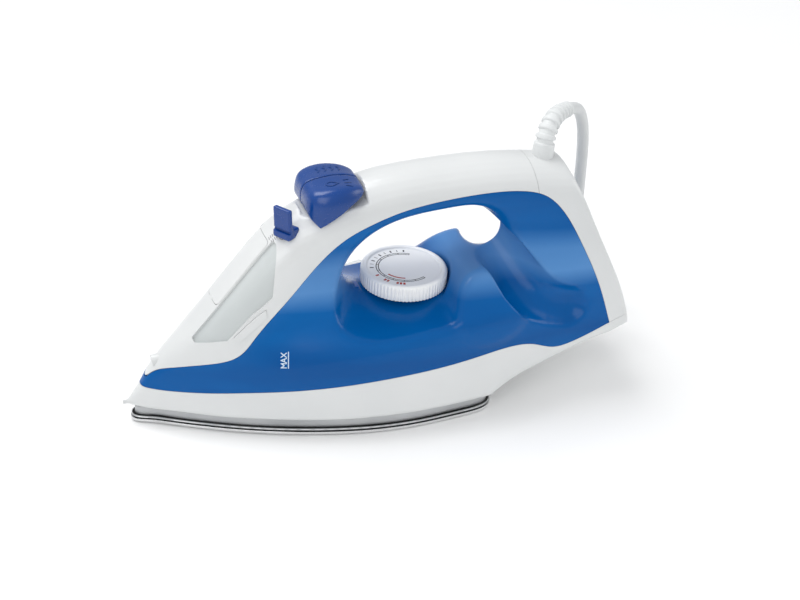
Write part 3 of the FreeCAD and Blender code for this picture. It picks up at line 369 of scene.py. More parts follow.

# %% [markdown]
# The guard is a soft sleeve that the cord leaves through. It is smooth where it plugs into the
# handle and then ribbed, with slots between the ribs so that it bends easily, and it tapers. The
# guard turns a little in the handle.

# %% Guard and cord
guard_path = line_points(GUARD)
gone = np.r_[0, np.cumsum(stretches(guard_path))]
steps = np.linspace(0, gone[-1], 260)
sleeve = np.column_stack([np.interp(steps, gone, guard_path[:, k]) for k in range(3)])
share = steps / gone[-1]
mm = steps * 1000
ribbed = np.clip((mm - 13) / 1.5, 0, 1) * np.clip((gone[-1] * 1000 - 2.5 - mm) / 1.0, 0, 1)
teeth = 0.5 + 0.5 * np.tanh(4 * np.sin(2 * np.pi * mm / 4.4))
radius = 6.15 - 1.35 * np.clip((mm - 12) / 36, 0, 1) - 1.15 * ribbed * (1 - teeth)
radius = radius - 0.9 * np.clip((mm - gone[-1] * 1000 + 1.2) / 1.2, 0, 1) ** 2
points, faces = tube(sleeve, radius / 1000, 32)
add("cord_guard_sleeve", points, faces, guard_skin, "cord_guard", "guard_rubber", ["cord_guard"],
    sharp=50, in_mm=False)

points, faces = tube(cord_path, CORD_D / 2000, 16)
cord = add("mains_cord", points, faces, cord_skin, None, "cord_rubber", in_mm=False)

# %% [markdown]
# ## The plug
# The far end is a round moulded plug: a grip with finger rings, a wide front, and two pins. It is a
# profile turned round the cord's last direction.

# %% Plug
PLUG_AT = np.array(TAIL[-1])
PLUG_WAY = (TAIL[-1] - TAIL[-2]) / np.linalg.norm(TAIL[-1] - TAIL[-2])


def turned_shape(foot, way, profile, around=48):
    """A profile of (distance along the axis, radius) turned once round the axis."""
    profile = np.asarray(profile, float)
    side = np.cross(way, (0, 0, 1))
    side /= np.linalg.norm(side)
    other = np.cross(side, way)
    angle = np.linspace(0, 2 * np.pi, around, endpoint=False)
    ring = np.cos(angle)[:, None] * side + np.sin(angle)[:, None] * other
    points = foot + profile[:, None, :1] * way + profile[:, None, 1:] * ring[None]
    faces = grid_faces(len(profile), around, close_columns=True)
    return points.reshape(-1, 3), triangles(faces[:, ::-1])


grip = [(0, 0.01), (0, 4.6), (0, 5.2), (1.2, 6.2)]
grip += [(a, 9.0 - 0.55 * (np.sin(a * 1.9) > 0.2)) for a in np.arange(3, 17.5, 0.35)]
grip += [(18.5, 9.8), (21, 11.2), (24, 14.6), (26.6, 17.2), (28.2, 18.2), (30, 18.5), (38.6, 18.5),
         (39.6, 18.1), (40, 17.4), (40, 0.01)]
points, faces = turned_shape(PLUG_AT, PLUG_WAY, grip)
plug = add("plug_grip", points, faces, guard_skin, "iron", "guard_rubber", ["plug_body"])
pins = frame["nodes"]["plug_pins"]
pins.data.materials.clear()
pins.data.materials.append(brass)

# %% Cord facts
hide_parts("cord_drop", "cord_floor", "cord_coil", "cord_tail")
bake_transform(cord)

# %% [markdown]
# ## The body
# The casings of an iron are moulded to one flowing shape and only then parted into skirt, tank,
# handle and rear cover. It is made the same way here. The shape is a distance field: for every point
# of a box of space, how far it lies outside the surface. Fields are easy to join with soft edges, as
# a moulding has. The surface is found where the field is zero, and is then trimmed along the seams.

# %% Lines of the body
STATIONS = (
    (-2, 1.2, (1.2, 10.4), (1.1, 11.0), (1.0, 11.6), (0.8, 12.2), (0.5, 12.7), 13.0),
    (4, 5.8, (5.2, 13), (4.8, 15), (4.2, 17), (3.4, 19), (2.2, 20.4), 21.0),
    (12, 10.4, (9.6, 17), (8.6, 22), (7.4, 27), (6.0, 31), (3.8, 34), 35.5),
    (24, 16.2, (15.2, 20), (14.0, 29), (12.4, 37), (10.0, 43), (6.4, 47.5), 49.5),
    (42, 25.0, (24.0, 23), (22.6, 33), (20.4, 44), (17.0, 57), (11.4, 66), 69.0),
    (64, 33.6, (32.6, 26), (31.0, 38), (26.4, 54), (21.6, 74), (14.6, 92), 97.0),
    (90, 41.6, (40.4, 29), (38.0, 46), (29.0, 66), (22.4, 90), (16.4, 115), 123.5),
    (114, 46.8, (45.6, 32), (42.4, 52), (31.0, 70), (20.6, 98), (17.6, 124), 135.0),
    (138, 49.0, (47.8, 35), (44.2, 57), (31.0, 73), (19.2, 102), (18.0, 132), 141.5),
    (166, 48.4, (47.2, 37), (43.6, 60), (31.0, 76), (19.0, 104), (18.2, 135), 144.3),
    (194, 45.0, (44.0, 39), (41.4, 63), (31.0, 79), (19.6, 106), (18.4, 136), 145.0),
    (218, 41.6, (41.0, 41), (39.2, 62), (31.0, 82), (21.4, 108), (18.8, 135), 143.8),
    (244, 39.0, (38.6, 42), (37.4, 60), (32.4, 84), (25.0, 110), (19.6, 132), 141.0),
    (270, 37.2, (37.0, 44), (35.4, 60), (32.0, 84), (27.0, 110), (20.6, 130), 138.0),
    (296, 36.0, (35.8, 46), (34.4, 62), (31.6, 84), (27.6, 110), (21.0, 128), 134.0),
)
UNDERSIDE = ((200, -5), (201, 9.8), (206, 13.6), (214, 18.4), (232, 25.6), (257, 34.3), (279, 39.5), (300, 41))
HEEL = ((290, 30), (289, 39), (286.5, 52), (281, 69), (273, 87), (265, 104.5), (255, 127), (250, 138), (244, 160))
OPENING = {
    0: ((121, 88), (124, 75), (137, 69), (158, 70), (178, 75), (196, 80.5), (206, 84), (209, 99),
        (204, 113), (193, 120), (174, 120.5), (155, 118), (138, 112), (126, 101)),
    24: ((111, 84), (115, 69), (130, 63.5), (154, 64.5), (178, 68), (199, 71.5), (213, 75), (218, 94),
         (212, 114), (199, 124), (176, 125.5), (154, 123), (134, 116), (118, 102)),
    62: ((92, 86), (98, 60), (122, 52), (152, 55), (178, 58), (202, 59), (224, 62), (234, 92),
         (224, 120), (204, 134), (176, 137), (150, 135), (124, 127), (104, 110)),
}


def smooth_curve(points, count):
    """A natural cubic spline through the points, by distance between them, read at even distances."""
    points = np.asarray(points, float)
    t = np.r_[0, np.cumsum(stretches(points))]
    h = np.diff(t)
    n = len(t)
    bend = np.zeros((n, n))
    bend[0, 0] = bend[-1, -1] = 1
    rise = np.diff(points, axis=0) / h[:, None]
    push = np.zeros_like(points)
    inner = np.arange(1, n - 1)
    bend[inner, inner - 1], bend[inner, inner], bend[inner, inner + 1] = h[:-1], 2 * (h[:-1] + h[1:]), h[1:]
    push[1:-1] = 6 * np.diff(rise, axis=0)
    second = np.linalg.solve(bend, push)
    at = np.linspace(0, t[-1], count)
    k = np.clip(np.searchsorted(t, at, side="right") - 1, 0, n - 2)
    a, b, w = (t[k + 1] - at)[:, None], (at - t[k])[:, None], h[k][:, None]
    return ((second[k] * a ** 3 + second[k + 1] * b ** 3) / (6 * w) + (points[k] / w - second[k] * w / 6) * a
            + (points[k + 1] / w - second[k + 1] * w / 6) * b)


def closed_curve(points, count):
    """The same spline for a loop: the loop is laid out three times, and the middle one is kept."""
    points = list(points)
    return smooth_curve(points * 3 + points[:1], 3 * count + 1)[count:2 * count]


def flat_distance(points, loop):
    """Distance from each flat point to a closed loop, negative inside. The loop's nearest stretch gives
    the distance, and an odd number of crossings to one side says that the point is inside."""
    a, b = loop, np.roll(loop, -1, axis=0)
    step = b - a
    away = points[:, None] - a[None]
    share = np.clip((away * step).sum(-1) / np.maximum((step * step).sum(-1), 1e-9), 0, 1)
    near = np.sqrt(((away - share[..., None] * step) ** 2).sum(-1).min(1))
    y = points[:, None, 1]
    straddle = (a[None, :, 1] > y) != (b[None, :, 1] > y)
    with np.errstate(divide="ignore", invalid="ignore"):
        cross = a[None, :, 0] + (y - a[None, :, 1]) * step[None, :, 0] / step[None, :, 1]
    inside = (straddle & (points[:, None, 0] < cross)).sum(1) % 2 == 1
    return np.where(inside, -near, near)


print("lines of the body: sections", len(STATIONS), "opening outlines", len(OPENING))

# %% [markdown]
# The field is sampled on a lattice of about a millimetre. The iron is even about its middle plane,
# so only one half is worked out. Sections across the iron give the outer body, side-view outlines
# give the heel and the finger opening, and a soft maximum joins them with a rounded edge.

# %% The body's field
STEP = 1.15
xs = np.arange(-5, 294, STEP)
ys = np.arange(0, 55, STEP)
zs = np.arange(6, 149, STEP)


def soft_max(a, b, k):
    """The larger of two fields, rounded over a width k where they meet."""
    return np.maximum(a, b) + np.maximum(k - np.abs(a - b), 0) ** 2 / (4 * k)


def section_field():
    """Distance to the arch-shaped section at every x. The section's points run smoothly along x."""
    table = np.array([[s[0], s[1], 9.8] + [v for p in s[2:-1] for v in p] + [0, s[-1]] for s in STATIONS], float)
    dense = smooth_curve(table, 900)
    rows = np.array([np.interp(xs, dense[:, 0], dense[:, k]) for k in range(1, table.shape[1])]).T
    flat = np.stack(np.meshgrid(ys, zs, indexing="ij"), -1).reshape(-1, 2)
    field = np.empty((len(xs), len(ys), len(zs)))
    for i, row in enumerate(rows):
        rise = row.reshape(-1, 2)
        arch = np.vstack([rise, rise[-2::-1] * (-1, 1)])
        arch = smooth_curve(arch, 72)
        loop = np.vstack([(rise[0, 0], 2), arch, (-rise[0, 0], 2)])
        field[i] = flat_distance(flat, loop).reshape(len(ys), len(zs))
    return field


def opening_field():
    """Distance to the finger opening's outline at every y. Its points run smoothly from side to side."""
    levels = [-62, -24, 0, 24, 62]
    table = np.array([[y] + [v for p in OPENING[abs(y)] for v in p] for y in levels], float)
    dense = smooth_curve(table, 600)
    flat = np.stack(np.meshgrid(xs, zs, indexing="ij"), -1).reshape(-1, 2)
    field = np.empty((len(xs), len(ys), len(zs)))
    for j, y in enumerate(ys):
        row = np.array([np.interp(y, dense[:, 0], dense[:, k]) for k in range(1, table.shape[1])])
        field[:, j] = flat_distance(flat, closed_curve(row.reshape(-1, 2), 90)).reshape(len(xs), len(zs))
    return field


X, Y, Z = np.meshgrid(xs, ys, zs, indexing="ij")
side_loop = np.vstack([[(-30, 9.8)], smooth_curve(UNDERSIDE, 60)[8:-12], smooth_curve(HEEL, 60)[6:],
                       [(244, 220), (-30, 220)]])
side_flat = np.stack(np.meshgrid(xs, zs, indexing="ij"), -1).reshape(-1, 2)
side = flat_distance(side_flat, side_loop).reshape(len(xs), 1, len(zs))
hull = soft_max(section_field(), np.broadcast_to(side, X.shape), 3.0)
body = soft_max(hull, -opening_field(), np.clip(2.2 + (Z - 66) * 0.08, 2.2, 5.0))
print("lattice", body.shape, "inside", round(float((body < 0).mean()), 3))

# %% [markdown]
# A round hump is joined to the deck's rear end. Into the body go the dial's round pocket, the seat of
# the two buttons in the handle's top, and a scooped channel that runs over the tank's shoulder and
# down the rear pillar. The channel is a row of balls swept along a line: its field is the distance to
# the line less the balls' radius.

# %% Pocket and channel
DIAL_X, DIAL_R, DIAL_ROOM = 159.0, 25.0, 1.3
POCKET_FLOOR, POCKET_TOP = 69.1, 96.0
HUMP_X, HUMP_Z, HUMP_R, HUMP_STRETCH = 199.0, 68.0, 17.5, 1.1
SEAT_FRONT, SEAT_BACK = 94.8, 129.6
CHANNEL = smooth_curve([(204, 3, 101), (211, 17, 91), (218, 29, 80.5), (228, 39.5, 71.5), (240, 43.5, 65),
                        (248, 44.5, 62.5)], 16)
hump = soft_max(np.hypot((X - HUMP_X) / HUMP_STRETCH, Z - HUMP_Z) - HUMP_R, hull, 5.0)
body = -soft_max(-body, -hump, 9.0)
pocket = soft_max(np.hypot(X - DIAL_X, Y) - DIAL_R - DIAL_ROOM, np.maximum(POCKET_FLOOR - Z, Z - POCKET_TOP), 1.0)
body = soft_max(body, -pocket, 2.0)


def along_line(points, line, radii):
    """Distance from points to a line in space, less a radius that changes along it."""
    best = np.full(points.shape[:-1], 1e9)
    for a, b, ra, rb in zip(line, line[1:], radii, radii[1:]):
        step = b - a
        share = np.clip(((points - a) @ step) / (step @ step), 0, 1)
        away = np.linalg.norm(points - a - share[..., None] * step, axis=-1)
        best = np.minimum(best, away - ra - share * (rb - ra))
    return best


seat_floor = 124 + (X - 97) * 7 / 32.6
body = np.maximum(body, -np.maximum(np.maximum(SEAT_FRONT - X, X - SEAT_BACK), seat_floor - Z))
scoop = along_line(np.stack([X, Y, Z], -1), CHANNEL, np.linspace(12.0, 15.0, len(CHANNEL)))
body = soft_max(body, -scoop, 2.4)
field = np.concatenate([body[:, :0:-1], body], 1)
lattice_y = np.r_[-ys[:0:-1], ys]
del X, Y, Z, scoop, pocket, side, hull, hump
print("field", field.shape)

# %% [markdown]
# Where the field changes sign between two neighbours of the lattice, the surface passes. Each cell
# that it passes through gets one point, in the middle of its crossings, and each crossed edge of the
# lattice gets one quad, which joins the four cells around it. The points then step along the field's
# slope until they lie on its zero.

# %% Surface of a field


def read_field(values, origin, step, points, slope=False):
    """The field between its samples, each weighted by nearness, and its slope if that is asked for."""
    at = (points - origin) / step
    low = np.clip(np.floor(at).astype(int), 0, np.array(values.shape) - 2)
    part = at - low
    found, lean = 0.0, np.zeros_like(part)
    for corner in np.ndindex(2, 2, 2):
        c = np.array(corner)
        weight = np.where(c == 1, part, 1 - part)
        sample = values[tuple((low + c).T)]
        found = found + weight.prod(1) * sample
        for k in range(3):
            others = weight[:, [m for m in range(3) if m != k]].prod(1)
            lean[:, k] += (1 if c[k] else -1) * others * sample
    return (found, lean / step) if slope else found


def surface(values, origin, step):
    """Points and quads where the field is zero, wound so that they face outwards."""
    negative = values < 0
    cells = np.zeros(np.array(values.shape) - 1)
    for corner in np.ndindex(2, 2, 2):
        cells += negative[tuple(slice(c, s - 1 + c) for c, s in zip(corner, values.shape))]
    live = (cells > 0) & (cells < 8)
    number = np.full(live.shape, -1)
    number[live] = np.arange(live.sum())
    base = np.argwhere(live)
    total, crossings = np.zeros((len(base), 3)), np.zeros((len(base), 1))
    for axis in range(3):
        for other in np.ndindex(2, 2):
            start = np.insert(np.array(other), axis, 0)
            a = base + start
            b = a.copy()
            b[:, axis] += 1
            va, vb = values[tuple(a.T)], values[tuple(b.T)]
            hit = (va < 0) != (vb < 0)
            share = np.where(hit, va / np.where(hit, va - vb, 1), 0)
            point = a + share[:, None] * (b - a)
            total += np.where(hit[:, None], point, 0)
            crossings += hit[:, None]
    points = origin + step * total / crossings
    quads = []
    for axis in range(3):
        u, v = [k for k in range(3) if k != axis]
        core = [slice(None)] * 3
        core[axis] = slice(0, -1)
        ahead = list(core)
        ahead[axis] = slice(1, None)
        change = negative[tuple(core)].astype(int) - negative[tuple(ahead)]
        where = np.argwhere(change != 0)
        where = where[(where[:, u] > 0) & (where[:, v] > 0)]
        where = where[(where[:, u] < values.shape[u] - 1) & (where[:, v] < values.shape[v] - 1)]
        ring = []
        for du, dv in ((1, 1), (0, 1), (0, 0), (1, 0)):
            cell = where.copy()
            cell[:, u] -= du
            cell[:, v] -= dv
            ring.append(number[tuple(cell.T)])
        quad = np.stack(ring, -1)
        out = change[tuple(where.T)] > 0
        flip = out if axis != 1 else ~out
        quad[~flip] = quad[~flip][:, ::-1]
        quads.append(quad)
    for _ in range(4):
        value, lean = read_field(values, origin, step, points, slope=True)
        points = points - 0.9 * (value / np.maximum((lean ** 2).sum(1), 0.2))[:, None] * lean
    return points, triangles(np.vstack(quads))


lattice_start = np.array([xs[0], lattice_y[0], zs[0]])
skin, skin_faces = surface(field, lattice_start, STEP)
slopes = read_field(field, lattice_start, STEP, skin, slope=True)[1]
middle = skin[skin_faces].mean(1)
first, second, third = (skin[skin_faces[:, k]] for k in range(3))
normal = np.cross(second - first, third - first)
outward = (normal * slopes[skin_faces[:, 0]]).sum(1)
print("skin", len(skin), "points", len(skin_faces), "triangles, facing out", round(float((outward > 0).mean()), 4))

# %% [markdown]
# ## Seams
# A trim cuts the skin where a second field is zero: triangles that lie across the seam are split, so
# the edge is clean. Each part then gets a rim, a narrow band turned inwards along its open edges,
# which gives it the thickness of a moulded wall.

# %% Trimming


def trim(points, faces, value):
    """Keeps the side where value is negative. Edges that cross zero are cut at the crossing."""
    inside = value < 0
    count = inside[faces].sum(1)
    kept = [faces[count == 3]]
    cut = faces[(count == 1) | (count == 2)]
    lone = inside[cut] == (count[(count == 1) | (count == 2)] == 1)[:, None]
    first = lone.argmax(1)
    row = np.arange(len(cut))
    a, b, c = (cut[row, (first + k) % 3] for k in range(3))
    pairs = np.sort(np.vstack([np.column_stack([a, b]), np.column_stack([a, c])]), 1)
    edges, place_of = np.unique(pairs, axis=0, return_inverse=True)
    place_of = place_of.ravel()
    va, vb = value[edges[:, 0]], value[edges[:, 1]]
    share = (va / (va - vb))[:, None]
    fresh = points[edges[:, 0]] * (1 - share) + points[edges[:, 1]] * share
    ab, ac = len(points) + place_of[:len(cut)], len(points) + place_of[len(cut):]
    one = inside[a]
    kept += [np.column_stack([a, ab, ac])[one], np.column_stack([ab, b, c])[~one],
             np.column_stack([ab, c, ac])[~one]]
    points, faces = np.vstack([points, fresh]), np.vstack(kept)
    used, again = np.unique(faces, return_inverse=True)
    points, faces = points[used], again.reshape(-1, 3)
    whole_ones = (faces[:, 0] != faces[:, 1]) & (faces[:, 1] != faces[:, 2]) & (faces[:, 0] != faces[:, 2])
    return points, faces[whole_ones]


def lean_of(points):
    """The direction straight out of the body at each point."""
    lean = read_field(field, lattice_start, STEP, points, slope=True)[1]
    return lean / np.linalg.norm(lean, axis=1)[:, None]


def rim(points, faces, depth):
    """Adds a band along the open edges, straight in by depth."""
    edges = np.vstack([faces[:, [0, 1]], faces[:, [1, 2]], faces[:, [2, 0]]])
    order = np.sort(edges, 1)
    _, back, times = np.unique(order, axis=0, return_inverse=True, return_counts=True)
    edge = edges[times[back.ravel()] == 1]
    ends, local = np.unique(edge, return_inverse=True)
    local = local.reshape(-1, 2)
    inward = -lean_of(points[ends])
    ring = points[ends] + inward * depth
    base = len(points)
    quads = np.column_stack([edge[:, 1], edge[:, 0], base + local[:, 0], base + local[:, 1]])
    return np.vstack([points, ring]), np.vstack([faces, triangles(quads)])


def height_line(points, x):
    """The height of a side-view line at each x."""
    line = smooth_curve(points, 400)
    return np.interp(x, line[:, 0], line[:, 1])


def part_of(start, *values):
    """A skin trimmed by one field after another, each a function of x, y and z."""
    points, faces = start
    for value in values:
        points, faces = trim(points, faces, value(*points.T))
    return points, faces


SKIRT_TOP = ((-6, 23), (9, 23.2), (22, 23.6), (55, 27.2), (84, 30), (126, 34.8), (167, 38.1), (192, 40.4),
             (214, 42.4), (226, 41), (240, 36.4), (254, 38.5), (264, 42), (275, 46.4), (300, 56))
BLUE_TOP = ((-6, 22), (5, 25), (12, 33), (21, 37.4), (40, 42.6), (56, 49), (65, 59.5), (85, 82),
            (103, 101.6), (117, 113), (130, 119.6), (146, 125.4), (170, 129.8), (194, 131.7),
            (220, 130.8), (233, 127), (243, 118), (255, 97.5), (268, 68), (275, 46.4), (278, 36),
            (279, 20))
HALF_GAP = 0.1


def over_skirt(x, y, z):
    """Positive above the skirt's upper edge: the height over the line."""
    return z - height_line(SKIRT_TOP, x)


def over_blue(x, y, z):
    """Positive in the white upper casings."""
    line = smooth_curve(BLUE_TOP, 300)
    loop = np.vstack([line, [(279, -60), (-40, -60), (-40, 22)]])
    return flat_distance_blocks(np.column_stack([x, z]), loop)


def flat_distance_blocks(flat, loop):
    """flat_distance in blocks, which keeps the arrays small."""
    blocks = np.array_split(flat, max(1, len(flat) // 4000))
    return np.concatenate([flat_distance(block, loop) for block in blocks])


def behind_seam(x, y, z):
    """Positive behind the seam between handle cover and rear cover, a line that leans back."""
    foot, lean = np.array([221.0, 200.0]), np.array([12.0, -110.0]) / np.hypot(12, 110)
    return (x - foot[0]) * -lean[1] + (z - foot[1]) * lean[0]


whole = (skin, skin_faces)
skirt = part_of(whole, lambda x, y, z: over_skirt(x, y, z) + HALF_GAP)
rest = part_of(whole, lambda x, y, z: HALF_GAP - over_skirt(x, y, z))
tank = part_of(rest, lambda x, y, z: over_blue(x, y, z) + HALF_GAP)
upper = part_of(rest, lambda x, y, z: HALF_GAP - over_blue(x, y, z))
rear = part_of(upper, lambda x, y, z: HALF_GAP - behind_seam(x, y, z))
front = part_of(upper, lambda x, y, z: behind_seam(x, y, z) + HALF_GAP)
print("skirt", len(skirt[1]), "tank", len(tank[1]), "rear", len(rear[1]), "front", len(front[1]))

# %% [markdown]
# The nose carries a raised ridge with the filler door in it. On each side of the ridge is a shallow
# panel, sunk below the white by a millimetre and a half and painted grey as the shade in that recess,
# with a slim raised bar under it.

# %% Nose panels, filler door, tank, skirt and rear cover
PANEL = np.array([(33.5, 53.4), (50, 57), (57.5, 65.6), (64, 72.8), (69.5, 77.2), (75, 82.5), (76.6, 98),
                  (79, 110.5), (70, 116), (28, 66)])
BAR = np.array([(53.4, 59.4), (60.6, 66.8), (66.8, 72.6), (71.4, 75.8), (71.6, 71.2), (65.2, 65.0),
                (56.9, 57.2)])
RIDGE_HALF, PANEL_SINK, BAR_RISE = 9.6, 1.5, 0.9
DOOR_HALF, DOOR_GAP = 9.0, 0.12
DOOR_LOW, DOOR_HIGH = np.array([46, 73.76]), np.array([76, 109.8])


def in_panel(x, y, z):
    """Inside the panel's side-view outline and off the ridge."""
    return np.maximum(flat_distance_blocks(np.column_stack([x, z]), PANEL), RIDGE_HALF - np.abs(y))


def in_bar(x, y, z):
    """Inside the bar's side-view outline."""
    return flat_distance_blocks(np.column_stack([x, z]), BAR)


def in_door(x, y, z):
    """A box along the ridge, measured from its low end."""
    way = (DOOR_HIGH - DOOR_LOW) / np.linalg.norm(DOOR_HIGH - DOOR_LOW)
    along = (x - DOOR_LOW[0]) * way[0] + (z - DOOR_LOW[1]) * way[1]
    length = np.linalg.norm(DOOR_HIGH - DOOR_LOW)
    return soft_max(np.maximum(-along, along - length), np.abs(y) - DOOR_HALF, 3.0)


def apart(f, gap=0.0):
    """What lies outside a field, and at least a gap away from it."""
    return lambda x, y, z: gap - f(x, y, z)


def grown(f, gap=0.0):
    """What lies inside a field by at least a gap."""
    return lambda x, y, z: f(x, y, z) + gap


def shifted(piece, out):
    """The piece moved straight out of the body."""
    points, faces = piece
    return points + lean_of(points) * out, faces


def joined(*parts):
    """Several point and triangle sets as one."""
    start, all_points, all_faces = 0, [], []
    for points, faces in parts:
        all_points.append(points)
        all_faces.append(faces + start)
        start += len(points)
    return np.vstack(all_points), np.vstack(all_faces)


door = part_of(front, grown(in_door, DOOR_GAP))
nose = part_of(front, apart(in_door, DOOR_GAP), apart(in_panel), apart(in_bar))
panel = shifted(part_of(front, grown(in_panel)), -PANEL_SINK)
bar = shifted(part_of(front, grown(in_bar, 0.1)), BAR_RISE)
CASINGS = (("handle_shell", nose, 1.7, white, "iron", "white_plastic", ["handle_cover"]),
           ("nose_panels", panel, 0.4, sunk_panel_shade_grey, "iron", "white_plastic", []),
           ("nose_bars", bar, 1.4, white, "iron", "white_plastic", []),
           ("filler_door_skin", door, 2.2, white, "filler_door", "white_plastic", ["filler_door"]),
           ("tank_skin", tank, 1.6, tank_blue, "iron", "blue_tank", ["water_tank"]),
           ("skirt_skin", skirt, 1.8, white, "iron", "white_plastic", ["base_skirt"]),
           ("rear_skin", rear, 1.8, white, "iron", "white_plastic", ["rear_cover"]))
for name, piece, depth, look, *ties in CASINGS:
    add(name, *rim(*piece, depth), look, *ties)

# %% [markdown]
# ## The sole
# The edge of the sole is a stack: a polished steel sheet with a rolled lower edge, a groove painted
# near-black as the shade inside it, a bright machined lip, and the wall of the casting up to the skirt,
# painted near-black for the shadow under the skirt and the dark reflection on its side. It is one profile
# of inset and height, carried round the sole's outline.

# %% Sole
SOLE = ((0, 0), (1.4, 3.6), (9, 7.4), (20, 12.6), (38, 21.4), (62, 31.4), (87, 39.2), (102, 42.8), (128, 47.0),
        (158, 47.4), (183, 44.4), (195, 42.2), (202, 38.6), (206, 31), (207.6, 18), (208, 0))
half = np.array(SOLE, float)
outline = closed_curve(np.vstack([half, half[-2:0:-1] * (1, -1)]), 420)


def carried(line, profile):
    """A profile of (inset, height) carried round a closed outline, with the inset square to it."""
    way = np.roll(line, -1, 0) - np.roll(line, 1, 0)
    way /= np.linalg.norm(way, axis=1)[:, None]
    inward = np.column_stack([way[:, 1], -way[:, 0]])
    profile = np.asarray(profile, float)
    flat = line[:, None] + inward[:, None] * profile[None, :, :1]
    points = np.dstack([flat, np.broadcast_to(profile[:, 1], flat.shape[:2])])
    return points.reshape(-1, 3), triangles(grid_faces(len(line), len(profile), close_rows=True))


roll = [(1.5 - 1.5 * np.sin(a), 1.5 - 1.5 * np.cos(a)) for a in np.linspace(0, np.pi / 2, 9)]
sheet = carried(outline, [(6, 0.02), (2.2, 0.0)] + roll + [(0.0, 2.0), (0.15, 2.25), (0.5, 2.3)])
groove = carried(outline, [(0.5, 2.3), (2.1, 2.3), (2.1, 3.15)])
lip = carried(outline, [(2.1, 3.15), (0.65, 3.2), (0.42, 3.35), (0.4, 3.9), (0.55, 4.12), (0.8, 4.2)])
wall = carried(outline, [(0.8, 4.2), (2.15, 4.35), (2.3, 4.7), (2.25, 9.2), (4.5, 9.4), (14, 9.4)])
print("sole outline", len(outline), "points")
add("sole_edge_sheet", *sheet, steel, "iron", "polished_steel")
# painted shade: the groove is near-black for the shade inside it
add("sole_edge_groove", *groove, dark, "iron", "cast_aluminium")
add("sole_edge_lip", *lip, steel, "iron", "polished_steel")
# painted shade and reflection: the wall is near-black
add("sole_edge_wall", *wall, painted_dark_sole_wall, "iron", "cast_aluminium")

# %% [markdown]
# ## The dial
# The dial is a lathe shape with a ribbed rim: fine ribs stand up its side for the fingers, the edge
# above them is rounded, and the face lies a little below that edge. Thin printed lines show the heat
# levels as plain ticks and arcs.

# %% Dial
AROUND, RIBS, RIB_DEPTH = 720, 72, 0.42
RIM = [(20.6, 78.1), (21.0, 78.2), (21.35, 78.6), (21.6, 79.1), (22.1, 79.4), (22.8, 79.5), (23.5, 79.35),
       (24.1, 78.9), (24.45, 78.3), (24.55, 77.6), (24.55, 76.0), (24.55, 73.0), (24.55, 70.6),
       (24.2, 69.8), (22, 69.6)]
turn_angle = np.linspace(0, 2 * np.pi, AROUND, endpoint=False)
rim_line = np.array([(r, 78.1) for r in np.linspace(0.01, 20.2, 14)] + RIM)
rib = RIB_DEPTH * (0.5 + 0.5 * np.tanh(2.2 * np.sin(RIBS * turn_angle)))
share = np.clip((78.6 - rim_line[:, 1]) / 0.9, 0, 1) * (rim_line[:, 0] > 23.9)
reach = rim_line[:, 0][:, None] + share[:, None] * rib[None]
dial_points = np.stack([DIAL_X + reach * np.cos(turn_angle), reach * np.sin(turn_angle),
                        np.broadcast_to(rim_line[:, 1][:, None], reach.shape)], -1).reshape(-1, 3)
dial_faces = triangles(grid_faces(len(rim_line), AROUND, close_columns=True)[:, ::-1])
# painted light: the dial's white is set well above the shell's white to make up for the light the handle keeps off
# its top
dial_white_painted_light = finish("dial_white_painted_light", (0.86, 0.865, 0.86), (0.90, 0.905, 0.90), (0.25, 0.38), coat=0.2)
add("dial_knob", dial_points, dial_faces, dial_white_painted_light, "dial", "dial_plastic", ["temperature_dial"],
    sharp=30)


def arc_strip(inner, outer, start, end, height, count=60):
    """A flat strip between two radii and two angles, in degrees."""
    a = np.radians(np.linspace(start, end, count))
    r = np.array([inner, outer])
    points = np.stack([DIAL_X + r[:, None] * np.cos(a), r[:, None] * np.sin(a),
                       np.full((2, count), height)], -1)
    return points.reshape(-1, 3), triangles(grid_faces(2, count)[:, ::-1])


def printed(name, strips, ink):
    """Several strips as one printed piece that turns with the dial."""
    add(name, *joined(*strips), ink, "dial", "dial_plastic")


INK = 78.14
level_line = [arc_strip(14.4, 14.9, 60, 300, INK), arc_strip(15.7, 16.2, 60, 300, INK)]
level_line += [arc_strip(14.4, 16.2, a - 0.8, a + 0.8, INK, 4) for a in np.arange(60, 301, 24)]
ticks = [arc_strip(17.4, 19.6, a - 1.4, a + 1.4, INK, 4) for a in (72, 96, 120, 144, 168)]
ticks += [arc_strip(17.4, 19.6, a - 0.6, a + 0.6, INK, 4) for a in (84, 108, 132, 156)]
warm = [arc_strip(17.2, 19.4, a - 2.0, a + 2.0, INK, 6) for a in (196, 216, 222, 240, 246, 252)]
warm += [arc_strip(11.8, 12.8, 205, 255, INK)]
printed("dial_levels", level_line, black_ink)
printed("dial_ticks", ticks, black_ink)
printed("dial_warm_marks", warm, red_ink)

# %% [markdown]
# ## Buttons
# The spray and steam buttons are the two halves of one boat-shaped cap, parted along the middle. Each
# side has a pointed flap that hangs over the handle. They are a field as well, on a finer lattice:
# an arch-shaped section, a side outline, and a soft edge where the two meet.

# %% Buttons
BUTTON_STATIONS = ((95.4, 14.0, 136.0), (98.5, 17.6, 139.8), (103.5, 20.0, 141.6), (109, 20.7, 142.5),
                   (116, 20.0, 142.7), (123, 17.6, 141.8), (129, 14.0, 139.6))
BUTTON_SIDE = ((88, 131.5), (95, 127.5), (102, 120.4), (110, 126), (119, 132.4), (131, 137.4), (131, 160),
               (88, 160))
FINE, CAP_OFF_MIDDLE = 0.6, 0.28
bx, by, bz = np.arange(93, 132, FINE), np.arange(-1.2, 23, FINE), np.arange(112, 146, FINE)


